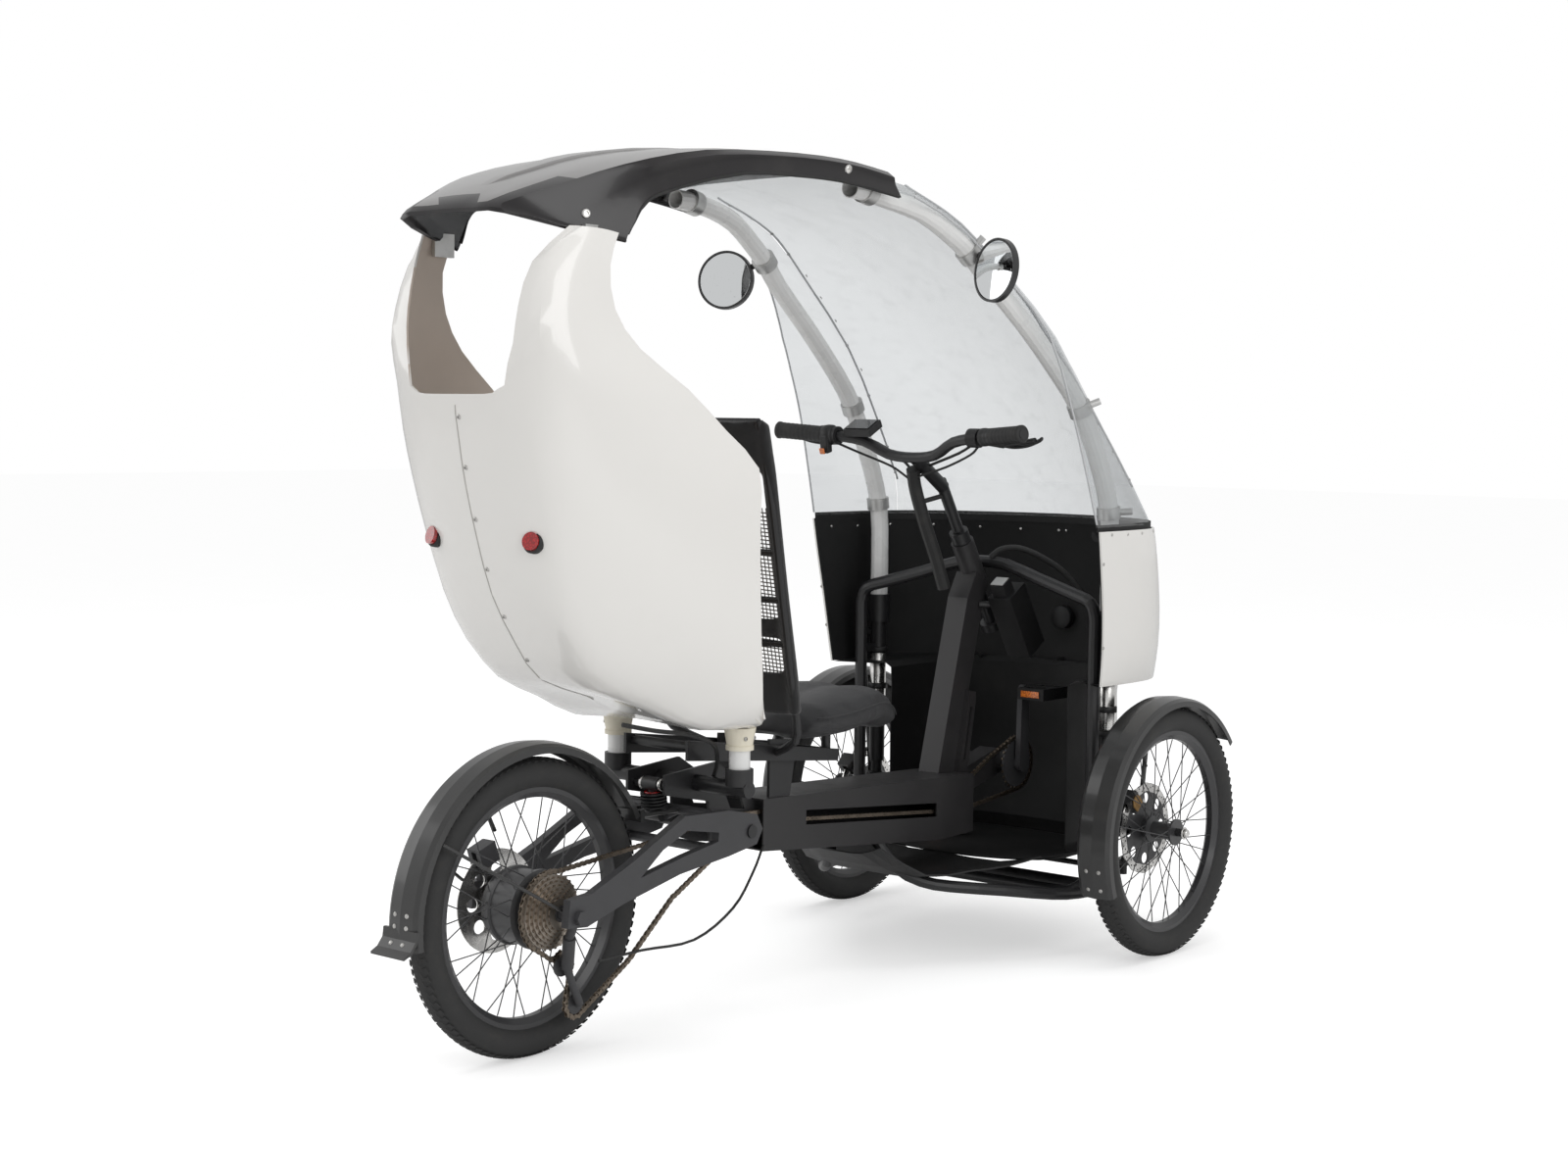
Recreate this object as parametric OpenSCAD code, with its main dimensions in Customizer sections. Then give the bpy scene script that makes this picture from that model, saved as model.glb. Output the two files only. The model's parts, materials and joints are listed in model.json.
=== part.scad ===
// Three-wheeled pedal vehicle with a half-open cabin: two steered front wheels, a driven rear wheel,
// a recumbent seat on a box beam, a clear wrap-round windscreen and a shell behind the rider.
// X forward, Y to the rider's left, Z up; the origin is on the ground under the middle of the vehicle.

/* [Overall] */
// Distance between the front and rear axles
wheelbase = 1410; // [1350:5:1480]
// Distance between the middles of the two front tyres
track = 808; // [780:2:840]
// Height of the roof above the ground
overall_h = 1551; // [1500:5:1600]
// Outer diameter of every tyre
wheel_d = 510; // [500:2:520]

/* [Wheels] */
// Width of a tyre
tyre_w = 54; // [48:1:56]
// Spokes in a wheel
spoke_count = 36; // [24:4:36]
// Width of a front mudguard
guard_w = 76; // [70:1:80]

/* [Cabin] */
// Thickness of the moulded shells
shell_t = 4; // [3:0.5:6]
// Thickness of the clear screen
screen_t = 3; // [2:0.5:4]
// Diameter of the white roof tubes
pillar_d = 38; // [30:1:42]
// Diameter of a mirror
mirror_d = 120; // [90:5:130]

/* [Drive] */
// Length of a crank arm
crank_l = 155; // [150:5:170]
// Overall width of the handlebar
handlebar_w = 614; // [540:10:640]

/* [Hidden] */
$fn = 64;
base_wheelbase = 1410;
base_track = 808;
base_h = 1551;
base_axle_z = 255;
deck_z = 560;
front_overhang = 258;
rear_overhang = 306;
axle_z = wheel_d / 2;
lift = axle_z - base_axle_z;
total_l = rear_overhang + wheelbase + front_overhang;
rear_axle_x = rear_overhang - total_l / 2;
front_axle_x = rear_axle_x + wheelbase;
h_scale = (overall_h - deck_z) / (base_h - deck_z);
y_scale = track / base_track;
fit_gap = 0.06;
seat_gap = 0.3;
kingpin_x = 1360;
kingpin_y = 294;
bead_r = wheel_d / 2 - 50;
rim_in_r = wheel_d / 2 - 68;
axle_r = 8;
hub_bore_r = axle_r + fit_gap;

// Stations: lengthwise places stretch with the wheelbase, sideways ones with the track,
// and heights above the deck with the overall height.
function sx(x) = rear_axle_x
    + (x <= 0 ? x : x >= base_wheelbase ? x - base_wheelbase + wheelbase
                                        : x * wheelbase / base_wheelbase);
function sy(y) = y * y_scale;
function sz(z) = lift + (z <= deck_z ? z : deck_z + (z - deck_z) * h_scale);
function at(x, y, z) = [sx(x), sy(y), sz(z)];
function place(list) = [for (v = list) at(v[0], v[1], v[2])];
function flip_y(list) = [for (v = list) [v[0], -v[1], v[2]]];

// Smooth curve through the given points, k steps a span.
function spline(a, b, c, d, t) =
    0.5 * (2 * b + (c - a) * t + (2 * a - 5 * b + 4 * c - d) * t * t
    + (3 * b - a - 3 * c + d) * t * t * t);
function smooth(p, k) = let (e = len(p) - 1) concat(
    [for (i = [0:e - 1]) for (j = [0:k - 1])
        spline(i == 0 ? 2 * p[0] - p[1] : p[i - 1], p[i], p[i + 1],
               i == e - 1 ? 2 * p[e] - p[e - 1] : p[i + 2], j / k)],
    [p[e]]);
function turned(g) = [for (j = [0:len(g[0]) - 1]) [for (i = [0:len(g) - 1]) g[i][j]]];
function finer(g, k, m) = turned([for (c = turned([for (r = g) smooth(r, k)])) smooth(c, m)]);
function unit(v) = v / norm(v);
function grid_normal(g, i, j) = let (m = len(g) - 1, n = len(g[0]) - 1)
    unit(cross(g[min(i + 1, m)][j] - g[max(i - 1, 0)][j], g[i][min(j + 1, n)] - g[i][max(j - 1, 0)]));
function has_cell(i, j, m, n, hole) =
    i >= 0 && j >= 0 && i < m - 1 && j < n - 1
    && !(i >= hole[0] && i < hole[1] && j >= hole[2] && j < hole[3]);

// A moulded or bent sheet of thickness t under the grid of outer points g, with the cells in hole left out.
module panel(g, t, hole = [0, 0, 0, 0]) {
    m = len(g);
    n = len(g[0]);
    s = m * n;
    outer = [for (i = [0:m - 1]) for (j = [0:n - 1]) g[i][j]];
    inner = [for (i = [0:m - 1]) for (j = [0:n - 1]) g[i][j] - t * grid_normal(g, i, j)];
    faces = [for (i = [0:m - 2]) for (j = [0:n - 2]) if (has_cell(i, j, m, n, hole))
        let (a = i * n + j, b = a + 1, d = a + n, c = d + 1)
        for (f = concat([[a, b, c], [a, c, d], [a + s, c + s, b + s], [a + s, d + s, c + s]],
            has_cell(i - 1, j, m, n, hole) ? [] : [[b, a, a + s], [b, a + s, b + s]],
            has_cell(i, j + 1, m, n, hole) ? [] : [[c, b, b + s], [c, b + s, c + s]],
            has_cell(i + 1, j, m, n, hole) ? [] : [[d, c, c + s], [d, c + s, d + s]],
            has_cell(i, j - 1, m, n, hole) ? [] : [[a, d, d + s], [a, d + s, a + s]])) f];
    polyhedron(points = concat(outer, inner), faces = faces);
}

function ring_at(p, k, ref, r, n) = let (
    e = len(p) - 1,
    t = unit(p[min(k + 1, e)] - p[max(k - 1, 0)]),
    u = unit(cross(ref, t)),
    v = cross(t, u))
    [for (s = [0:n - 1]) p[k] + r * (u * cos(360 * s / n) + v * sin(360 * s / n))];

// A bent hollow tube along the points p; ref is a direction it never runs along.
module bent_tube(p, r, wall, ref = [0, 1, 0], n = 12) {
    m = len(p);
    s = m * n;
    outer = [for (k = [0:m - 1]) each ring_at(p, k, ref, r, n)];
    inner = [for (k = [0:m - 1]) each ring_at(p, k, ref, r - wall, n)];
    sides = [for (k = [0:m - 2]) for (j = [0:n - 1])
        let (a = k * n + j, b = k * n + (j + 1) % n, c = b + n, d = a + n)
        for (f = [[a, c, b], [a, d, c], [a + s, b + s, c + s], [a + s, c + s, d + s]]) f];
    z = (m - 1) * n;
    ends = [for (j = [0:n - 1]) let (a = j, b = (j + 1) % n)
        for (f = [[a, b, b + s], [a, b + s, a + s],
                  [z + a, z + a + s, z + b + s], [z + a, z + b + s, z + b]]) f];
    polyhedron(points = concat(outer, inner), faces = concat(sides, ends));
}

// A solid bent rod or cord along the points p.
module bent_rod(p, r, ref = [0, 1, 0], n = 10) {
    loft([for (k = [0:len(p) - 1]) ring_at(p, k, ref, r, n)]);
}

// A solid through closed rings of equally many points, each ring turning the same way.
module loft(rings) {
    m = len(rings);
    n = len(rings[0]);
    sides = [for (k = [0:m - 2]) for (j = [0:n - 1])
        let (a = k * n + j, b = k * n + (j + 1) % n, c = b + n, d = a + n)
        for (f = [[a, c, b], [a, d, c]]) f];
    polyhedron(points = [for (r = rings) each r],
               faces = concat(sides, [[for (j = [0:n - 1]) j]],
                              [[for (j = [0:n - 1]) (m - 1) * n + n - 1 - j]]));
}

// Rounded upright oval across the vehicle at a station, for lofting cushions.
function oval(c, w, h, n = 16, e = 0.7) = [for (s = [0:n - 1]) let (a = 360 * s / n, x = cos(a), y = sin(a))
    [c[0], c[1] + w / 2 * sign(x) * pow(abs(x), e), c[2] + h / 2 * sign(y) * pow(abs(y), e)]];

// A straight round bar from a to b.
module bar(a, b, r) {
    v = b - a;
    translate(a) rotate([0, acos(v[2] / norm(v)), atan2(v[1], v[0])]) cylinder(h = norm(v), r = r);
}

// A straight hollow tube from a to b.
module pipe(a, b, r, bore) {
    v = b - a;
    translate(a) rotate([0, acos(v[2] / norm(v)), atan2(v[1], v[0])]) difference() {
        cylinder(h = norm(v), r = r);
        translate([0, 0, -1]) cylinder(h = norm(v) + 2, r = bore);
    }
}

// A plate cut to the side outline pts (lengthwise, height), from y0 to y1.
module side_plate(pts, y0, y1) {
    translate([0, y1, 0]) rotate([90, 0, 0]) linear_extrude(height = y1 - y0) polygon(pts);
}
function side(list) = [for (v = list) [sx(v[0]), sz(v[1])]];

module both_sides() {
    children();
    mirror([0, 1, 0]) children();
}

/* ---- cabin ---- */

shell_rows = [
    [[377,0,546], [377,60,545], [377,105,543], [377,150,541], [376,172,542], [369,194,546],
     [358,214,553], [342,231,565]],
    [[263,0,552], [263,60,550], [264,105,547], [266,150,545], [274,172,549], [292,196,563],
     [312,220,582], [332,238,603]],
    [[140,0,603], [140,50,601], [143,90,597], [150,130,590], [170,160,597], [210,192,618],
     [265,225,638], [322,245,650]],
    [[29,0,640], [30,50,638], [36,90,634], [50,125,632], [80,158,643], [140,196,668], [225,232,690],
     [310,252,700]],
    [[-30,0,705], [-29,50,703], [-24,90,700], [-16,125,697], [6,158,708], [90,203,735], [195,240,755],
     [300,258,765]],
    [[-84,0,789], [-83,50,788], [-79,90,786], [-70,122,783], [-48,160,795], [45,210,815], [170,246,830],
     [292,262,840]],
    [[-118,0,882], [-117,50,882], [-112,90,882], [-103,120,882], [-84,164,890], [5,214,905],
     [150,248,915], [290,263,920]],
    [[-145,0,975], [-144,50,975], [-139,90,975], [-131,122,975], [-110,170,985], [-18,216,995],
     [130,246,1000], [286,262,1000]],
    [[-160,0,1050], [-159,50,1050], [-155,90,1050], [-149,122,1052], [-128,172,1060], [-48,212,1066],
     [85,238,1068], [214,250,1064]],
    [[-170,0,1119], [-170,50,1119], [-169,88,1121], [-166,112,1133], [-142,172,1140], [-86,208,1143],
     [20,226,1140], [133,236,1132]],
    [[-161,0,1200], [-161,50,1200], [-161,90,1200], [-161,126,1200], [-151,176,1204], [-98,202,1206],
     [-32,209,1204], [40,214,1196]],
    [[-155,0,1260], [-155,50,1260], [-155,90,1260], [-155,131,1260], [-145,173,1262], [-104,194,1264],
     [-56,200,1262], [-8,203,1258]],
    [[-133,0,1330], [-133,50,1330], [-133,90,1330], [-133,140,1330], [-120,170,1333], [-86,189,1333],
     [-50,195,1331], [-18,201,1328]],
    [[-85,0,1388], [-85,60,1388], [-85,120,1388], [-85,174,1388], [-64,182,1388], [-42,189,1387],
     [-20,194,1385], [4,198,1381]]];

roof_rows = [
    [[-182,0,1409],[-181,60,1408],[-178,124,1405],[-82,166,1386],[17,203,1368]],
    [[-178,0,1424],[-177,60,1423],[-173,113,1420],[-78,162,1393],[21,201,1376]],
    [[-105,0,1460],[-103,76,1458],[-95,147,1450],[-25,180,1428],[36,205,1404]],
    [[-20,0,1489],[-20,90,1487],[-20,178,1479],[25,193,1457],[60,209,1436]],
    [[70,0,1517],[70,102,1514],[70,204,1506],[105,211,1487],[142,219,1467]],
    [[193,0,1540],[193,109,1538],[193,217,1530],[230,227,1514],[272,235,1497]],
    [[340,0,1550],[340,115,1549],[340,230,1541],[360,241,1523],[390,248,1503]],
    [[470,0,1551],[470,120,1550],[470,240,1544],[480,251,1524],[500,255,1503]],
    [[565,0,1548],[564,123,1546],[560,247,1540],[575,257,1519],[590,261,1496]],
    [[662,0,1540],[658,126,1538],[646,253,1530],[660,260,1508],[674,263,1486]]];

screen_rows = [
    [[612,0,1530], [611,62,1530], [609,125,1529], [606,182,1527], [602,228,1524], [600,240,1517],
     [600,248,1509], [600,253,1500]],
    [[805,0,1527], [800,62,1526], [788,125,1523], [768,182,1518], [737,228,1513], [732,240,1508],
     [727,250,1501], [722,258,1492]],
    [[1020,0,1481], [1012,65,1480], [990,128,1476], [956,186,1469], [903,232,1455], [896,246,1449],
     [888,258,1441], [880,267,1432]],
    [[1219,0,1358], [1209,70,1359], [1185,135,1361], [1136,193,1364], [1040,247,1362], [1022,267,1360],
     [1004,285,1352], [985,300,1340]],
    [[1371,0,1226], [1360,75,1227], [1334,145,1230], [1290,205,1233], [1192,259,1236], [1152,290,1245],
     [1108,316,1250], [1062,332,1252]],
    [[1490,0,1085], [1478,80,1086], [1450,155,1088], [1400,222,1092], [1318,280,1098], [1262,312,1104],
     [1200,331,1109], [1130,342,1112]],
    [[1585,0,955], [1572,90,955], [1543,172,956], [1497,243,957], [1425,302,960], [1360,332,962],
     [1280,346,965], [1180,352,968]],
    [[1632,0,876], [1617,100,876], [1586,190,876], [1535,270,876], [1465,325,876], [1400,346,876],
     [1310,355,876], [1208,358,876]]];

cowl_rows = [
    [[1640,0,868], [1624,104,868], [1592,196,868], [1541,276,868], [1470,331,868], [1402,352,868],
     [1310,361,868], [1210,364,868]],
    [[1655,0,800], [1640,108,800], [1606,203,800], [1553,282,800], [1476,337,800], [1404,356,800],
     [1315,362,800], [1222,362,800]],
    [[1666,0,700], [1651,110,700], [1615,208,700], [1560,288,700], [1480,340,700], [1406,357,700],
     [1322,360,700], [1240,357,700]],
    [[1664,0,620], [1649,110,620], [1613,208,620], [1558,288,620], [1480,338,620], [1408,354,620],
     [1326,355,620], [1250,351,620]],
    [[1655,0,556], [1640,110,556], [1604,206,556], [1550,284,556], [1474,332,556], [1406,347,556],
     [1328,348,556], [1256,344,556]]];

tube_path = [[590,211,1500],[640,211,1497],[700,213,1488],
    [780,229,1470], [850,243,1435], [905,252,1400], [960,261,1352], [1073,272,1268], [1180,280,1178],
     [1247,287,1110],
    [1300,292,1025],[1345,294,930],[1360,294,842],[1360,294,665]];

module shell_half() {
    panel(finer([for (r = shell_rows) place(r)], 2, 2), shell_t, [18, 26, 0, 6]);
}

module rear_shell_left() color("white") shell_half();

module rear_shell_right() color("white") mirror([0, 1, 0]) shell_half();

function whole(row) = concat([for (j = [len(row) - 1:-1:1]) [row[j][0], -row[j][1], row[j][2]]], row);
function whole_grid(g) = [for (r = g) place(whole(r))];
function inset(g, d) = [for (i = [0:len(g) - 1]) [for (j = [0:len(g[0]) - 1])
    g[i][j] - d * grid_normal(g, i, j)]];
function columns(g, a, b) = [for (r = g) [for (j = [a:b]) r[j]]];

module roof() color("dimgray") panel(finer(whole_grid(roof_rows), 2, 2), shell_t);

module windscreen() color("lightcyan") {
    panel(finer(whole_grid(columns(screen_rows, 0, 4)), 2, 2), screen_t);
}

module side_screens() color("lightcyan") both_sides() {
    g = finer([for (r = columns(screen_rows, 4, 7)) place(r)], 2, 2);
    panel([for (r = g) concat([r[0] + 3 * unit(r[1] - r[0])], [for (j = [1:len(r) - 1]) r[j]])], screen_t);
}

tub_rows = [
    [[1634,0,553], [1628,98,553], [1608,180,553], [1570,240,553], [1500,276,553], [1430,266,553],
     [1370,262,553], [1320,262,553]],
    [[1618,0,546], [1614,86,546], [1600,146,546], [1568,190,546], [1512,216,546], [1440,226,546],
     [1370,228,546], [1320,228,546]],
    [[1614,0,450], [1610,85,450], [1597,145,450], [1566,189,450], [1510,215,450], [1440,225,450],
     [1370,228,450], [1320,228,450]],
    [[1604,0,330], [1600,82,330], [1589,144,330], [1561,190,330], [1508,218,330], [1438,226,330],
     [1370,227,330], [1320,227,330]],
    [[1550,0,215], [1548,80,215], [1538,146,215], [1514,194,215], [1472,216,215], [1412,222,215],
     [1360,224,215], [1320,226,215]]];

liner_t = 2;
skin_gap = 0.6;

module nose_cowl() color("white") {
    tub = finer(whole_grid(tub_rows), 2, 2);
    panel(finer(whole_grid(cowl_rows), 2, 2), shell_t);
    panel([for (i = [2:8]) columns(inset(tub, -shell_t - skin_gap), 6, 22)[i]], shell_t);
}

module nose_liner() color("black") {
    panel(inset(finer(whole_grid(cowl_rows), 2, 2), shell_t + skin_gap), liner_t);
    panel(finer(whole_grid(tub_rows), 2, 2), liner_t);
    bar(at(1622, 0, 552), at(1652, 0, 556), 8);
    both_sides() bar(at(1592, 172, 552), at(1606, 204, 556), 8);
}

module roof_tubes() color("white") both_sides() {
    bent_tube(smooth(place(tube_path), 2), pillar_d / 2, 2, [0, 1, 0], 14);
    pipe(at(377, 148, 446.3), at(377, 148, 640), pillar_d / 2, pillar_d / 2 - 2);
}

module tail_lights() color("red") both_sides() {
    translate(at(-105, 117, 882)) rotate([0, -76, -14]) {
        cylinder(h = 10, r = 15);
        translate([0, 0, -12]) cylinder(h = 14, r = 9);
    }
}

module headlight() color("lightyellow") {
    translate(at(1664, 0, 650)) rotate([0, 92, 0]) {
        cylinder(h = 9, r = 34);
        translate([0, 0, -26]) cylinder(h = 28, r = 24);
    }
}

// White caps where the roof tubes leave the shell.
module shell_supports() color("ivory") both_sides() {
    c = at(377, 148, 0);
    translate([c[0], c[1], sz(500)]) difference() {
        union() {
            cylinder(h = 40, r1 = 22, r2 = 29);
            cylinder(h = 8, r = 25);
        }
        translate([0, 0, -1]) cylinder(h = 60, r = pillar_d / 2 + 0.3);
    }
}

// A split ring round a roof tube at p, along direction d, with a lug reaching by v.
module tube_ring(p, d, v) {
    h = 12;
    difference() {
        union() {
            bar(p - h * unit(d), p + h * unit(d), pillar_d / 2 + 5);
            bar(p, p + v, 7);
        }
        bar(p - 2 * h * unit(d), p + 2 * h * unit(d), pillar_d / 2 - 0.5);
    }
}

module tube_clamps() color("gray") both_sides() {
    tube_ring(at(640, 211, 1497), [60, 2, -12], [0, 40, 12]);
    tube_ring(at(905, 252, 1400), [55, 9, -45], [14, 22, 30]);
    tube_ring(at(1247, 287, 1110), [53, 5, -85], [26, 30, 16]);
    tube_ring(at(1352, 294, 900), [15, 0, -88], [26, 40, 4]);
    translate(at(-34, 178, 1372)) cube([44, 8, 40], center = true);
}

module mirrors() color("black") both_sides() {
    p = at(896, 252, 1408);
    q = at(878, 332, 1364);
    n = unit([-0.93, -0.30, 0.10]);
    difference() {
        union() {
            bar(q - 7 * n, q + 5 * n, mirror_d / 2);
            bar(q - 20 * n, q, 9);
            bar(q - 16 * n, at(905, 274, 1396), 6);
        }
        bar(q + 2 * n, q + 8 * n, mirror_d / 2 - 4);
    }
}

module wiper() color("black") {
    bent_rod(smooth([at(1658, -95, 840), at(1600, -108, 968), at(1530, -112, 1062), at(1425, -150, 1178)],
        3), 5);
    translate(at(1628, -95, 836)) rotate([0, 84, 0]) cylinder(h = 40, r = 14);
}

/* ---- frame ---- */

module main_beam() color("black") {
    wall = 3;
    outer = side([[538, 383], [1213, 357], [1213, 238], [1100, 234], [538, 286]]);
    inner = side([[530, 380], [1220, 353.6], [1220, 241], [1100, 237], [530, 289.4]]);
    slot = side([[664, 348], [1084, 311], [1084, 283], [664, 320]]);
    difference() {
        side_plate(outer, -70, 50);
        side_plate(inner, -70 + wall, 50 - wall);
        side_plate(slot, -80, -60);
        for (x = [-32, 32]) translate([sx(800) + x, 0, sz(335)]) rotate([-90, 0, 0]) cylinder(h = 80,
            r = 2.5);
    }
}

steer_up = [-0.5306, 0, 0.8477];
head_low = at(1306, 0, 752);
head_len = 95;
column_r = 12;
crank_pos = at(1385, 0, 360);
spindle_r = 12;

module mast() color("black") {
    difference() {
        union() {
            side_plate(side([[1150, 359.5], [1212, 357.1], [1298, 700], [1314, 744], [1274, 768], [1244,
                716]]), -25, 25);
            side_plate(side([[1205, 357], [1235, 357], [1262, 500], [1262, 520], [1240, 524]]), -38, -22);
            side_plate(side([[1213, 350], [1213, 296], [1360, 332], [1408, 345], [1408, 378], [1366,
                390]]), -22, 22);
            bar(head_low, head_low + head_len * steer_up, 24);
            translate([sx(1213) + seat_gap, -48, sz(239)]) cube([6, 96, 117]);
            translate(crank_pos) rotate([90, 0, 0]) cylinder(h = 72, r = 24, center = true);
        }
        bar(head_low - 40 * steer_up, head_low + (head_len + 40) * steer_up, column_r + fit_gap);
        translate(crank_pos) rotate([90, 0, 0]) cylinder(h = 90, r = spindle_r + fit_gap, center = true);
        side_plate(side([[1220, 380], [1228, 380], [1250, 490], [1242, 490]]), -45, -30);
    }
}

arch_path = [[1284,262,128],[1300,290,150],[1303,297,190],[1303,297,400],[1303,297,640],[1303,297,690],[1305,284,718],
    [1310,250,730],[1322,150,758],[1330,60,784],[1332,0,788]];

module front_arch() color("black") {
    half = place(arch_path);
    n = len(half);
    bent_tube(smooth(concat(half, [for (i = [n - 2:-1:0]) [half[i][0], -half[i][1], half[i][2]]]), 2), 13, 2,
              [1, 0.02, 0.1]);
}

module floor_frame() color("black") {
    both_sides() {
        bent_tube(smooth(place([[900,52,262],[930,84,204],[965,120,176],[1010,160,164],[1110,220,150],[1213,268,134],
            [1284,284,128],[1357,293,128]]), 2), 12, 2, [0, 0, 1]);
    }
    bar(at(kingpin_x, -kingpin_y, 128), at(kingpin_x, kingpin_y, 128), 14);
    bar(at(1284, -284, 128), at(1284, 284, 128), 11);
}

module floor_tray() color("black") {
    rows = [
        [[850,0,238],[850,60,240],[852,104,256]],
        [[945,0,186],[946,86,186],[940,150,196]],
        [[1040,0,182],[1040,110,182],[1036,186,196]],
        [[1130,0,182],[1130,130,182],[1124,218,198]],
        [[1195,0,188],[1195,150,188],[1195,250,212]]];
    panel(finer(whole_grid(rows), 2, 2), 3);
}

pivot_pos = at(440, 0, 343);
rear_hub = [rear_axle_x, 0, axle_z];

module rear_frame() color("black") {
    both_sides() difference() {
        side_plate(side([[292, 452], [292, 416], [410, 392], [414, 318], [470, 300], [532, 291], [532,
            380], [500, 420],
            [430, 462]]), 42, 48);
        side_plate(side([[450, 410], [470, 372], [510, 366], [500, 392]]), 30, 70);
    }
    translate([sx(530), -48, sz(291)]) cube([7.7, 96, 88]);
    bar(at(377, -172, 430), at(377, 172, 430), 15);
    bar(pivot_pos + [0, -128, 0], pivot_pos + [0, 128, 0], 12);
    bar(at(312, -48, 430), at(312, 48, 430), 7);
    both_sides() translate(at(377, 148, 436)) difference() {
        cylinder(h = 30, r = 25);
        translate([0, 0, 10]) cylinder(h = 30, r = pillar_d / 2);
    }
}

module swing_arm() color("dimgray") {
    arm = side([[-26, 240], [20, 236], [110, 262], [250, 292], [380, 306], [456, 318], [472, 344], [456,
        372], [380, 388],
        [262, 392], [130, 330], [30, 290], [-20, 286]]);
    window = side([[150, 300], [262, 322], [350, 336], [352, 352], [268, 366], [205, 340]]);
    both_sides() difference() {
        side_plate(arm, 108, 124);
        side_plate(window, 100, 130);
        translate(pivot_pos) rotate([90, 0, 0]) cylinder(h = 400, r = 12 + fit_gap, center = true);
        translate(rear_hub) rotate([90, 0, 0]) cylinder(h = 400, r = axle_r + fit_gap, center = true);
    }
    bar(at(352, -108.2, 382), at(352, 108.2, 382), 9);
    bar(at(372, -108.2, 316), at(372, 108.2, 316), 9);
    bar(at(322, -22, 374), at(350, -22, 380), 8);
    bar(at(322, 22, 374), at(350, 22, 380), 8);
    bar(rear_hub + [0, -124, 0], rear_hub + [0, 124, 0], axle_r);
    both_sides() translate(rear_hub + [0, 124, 0]) rotate([-90, 0, 0]) cylinder(h = 10, r = 13, $fn = 6);
}

module rear_shock() color("silver") {
    a = at(312, 0, 430);
    b = at(318, 0, 374);
    d = unit(b - a);
    difference() {
        union() {
            bar(a + 8 * d, b - 8 * d, 9);
            translate(a) rotate([90, 0, 0]) cylinder(h = 36, r = 13, center = true);
            translate(b) rotate([90, 0, 0]) cylinder(h = 36, r = 11, center = true);
            for (k = [0:4]) bar(a + (15 + k * 6) * d, a + (18 + k * 6) * d, 24);
        }
        translate(a) rotate([90, 0, 0]) cylinder(h = 60, r = 7.2, center = true);
    }
}

// A curved mudguard strip about the axle at c, from angle a0 to a1 counted from straight ahead.
module guard_strip(c, r, w, a0, a1) {
    t = 2.5;
    lip = 16;
    h = w / 2;
    translate(c) rotate([90, 0, 0]) rotate([0, 0, a0]) rotate_extrude(angle = a1 - a0, $fn = 96)
        polygon([[r - lip, -h], [r - 5, -h + 1], [r, -h + 9], [r + 3, 0], [r, h - 9], [r - 5, h - 1],
            [r - lip, h],
            [r - lip, h - t], [r - 5 - t, h - t - 1], [r - t, h - 10], [r + 3 - t, 0], [r - t, -h + 10],
            [r - 5 - t, -h + t + 1], [r - lip, -h + t]]);
}

module rear_mudguard() color("black") {
    guard_strip(rear_hub, axle_z + 25, 72, 28, 186);
    both_sides() {
        bar(rear_hub + [0, 104, 0], rear_hub + [-222, 34.6, 140], 3);
        bar(rear_hub + [0, 104, 0], rear_hub + [0, 107.9, 0], 16);
    }
    side_plate(side([[-282, 262], [-284, 246], [-295, 232], [-309, 225], [-308, 221], [-292, 228], [-280,
        243], [-276, 262]]),
        -40, 40);
    translate([sx(246), 0, sz(384)]) cube([10, 76, 20], center = true);
    both_sides() bar([sx(250), 33, sz(384)], [sx(350), 33, sz(382)], 4);
}

module rear_caliper() color("dimgray") {
    translate(rear_hub + [-30, 0, 84]) rotate([0, -20, 0]) difference() {
        translate([-20, 60, -18]) cube([40, 30, 36]);
        translate([-30, 69, -30]) cube([60, 12, 44]);
    }
    bar(rear_hub + [-24, 88, 80], rear_hub + [-6, 107.8, 34], 7);
}

chain_y = -58;
ring_r = 50;
cog_r = 63;
function arc_xz(c, r, a0, a1, n) = [for (k = [0:n]) let (a = a0 + (a1 - a0) * k / n)
    [c[0] + r * cos(a), chain_y, c[2] + r * sin(a)]];

module derailleur() color("gray") {
    up = rear_hub + [26, chain_y, -96];
    low = rear_hub + [58, chain_y, -166];
    for (p = [up, low]) {
        translate(p) rotate([90, 0, 0]) cylinder(h = 4, r = 18, center = true);
        bar(p + [0, -14, 0], p + [0, 3, 0], 4);
    }
    bar(up + [0, -12, 0], low + [0, -12, 0], 7);
    bar(up + [0, -14, 0], rear_hub + [10, -92, -40], 11);
    bar(rear_hub + [10, -92, -40], rear_hub + [4, -107.8, -14], 8);
}

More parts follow.
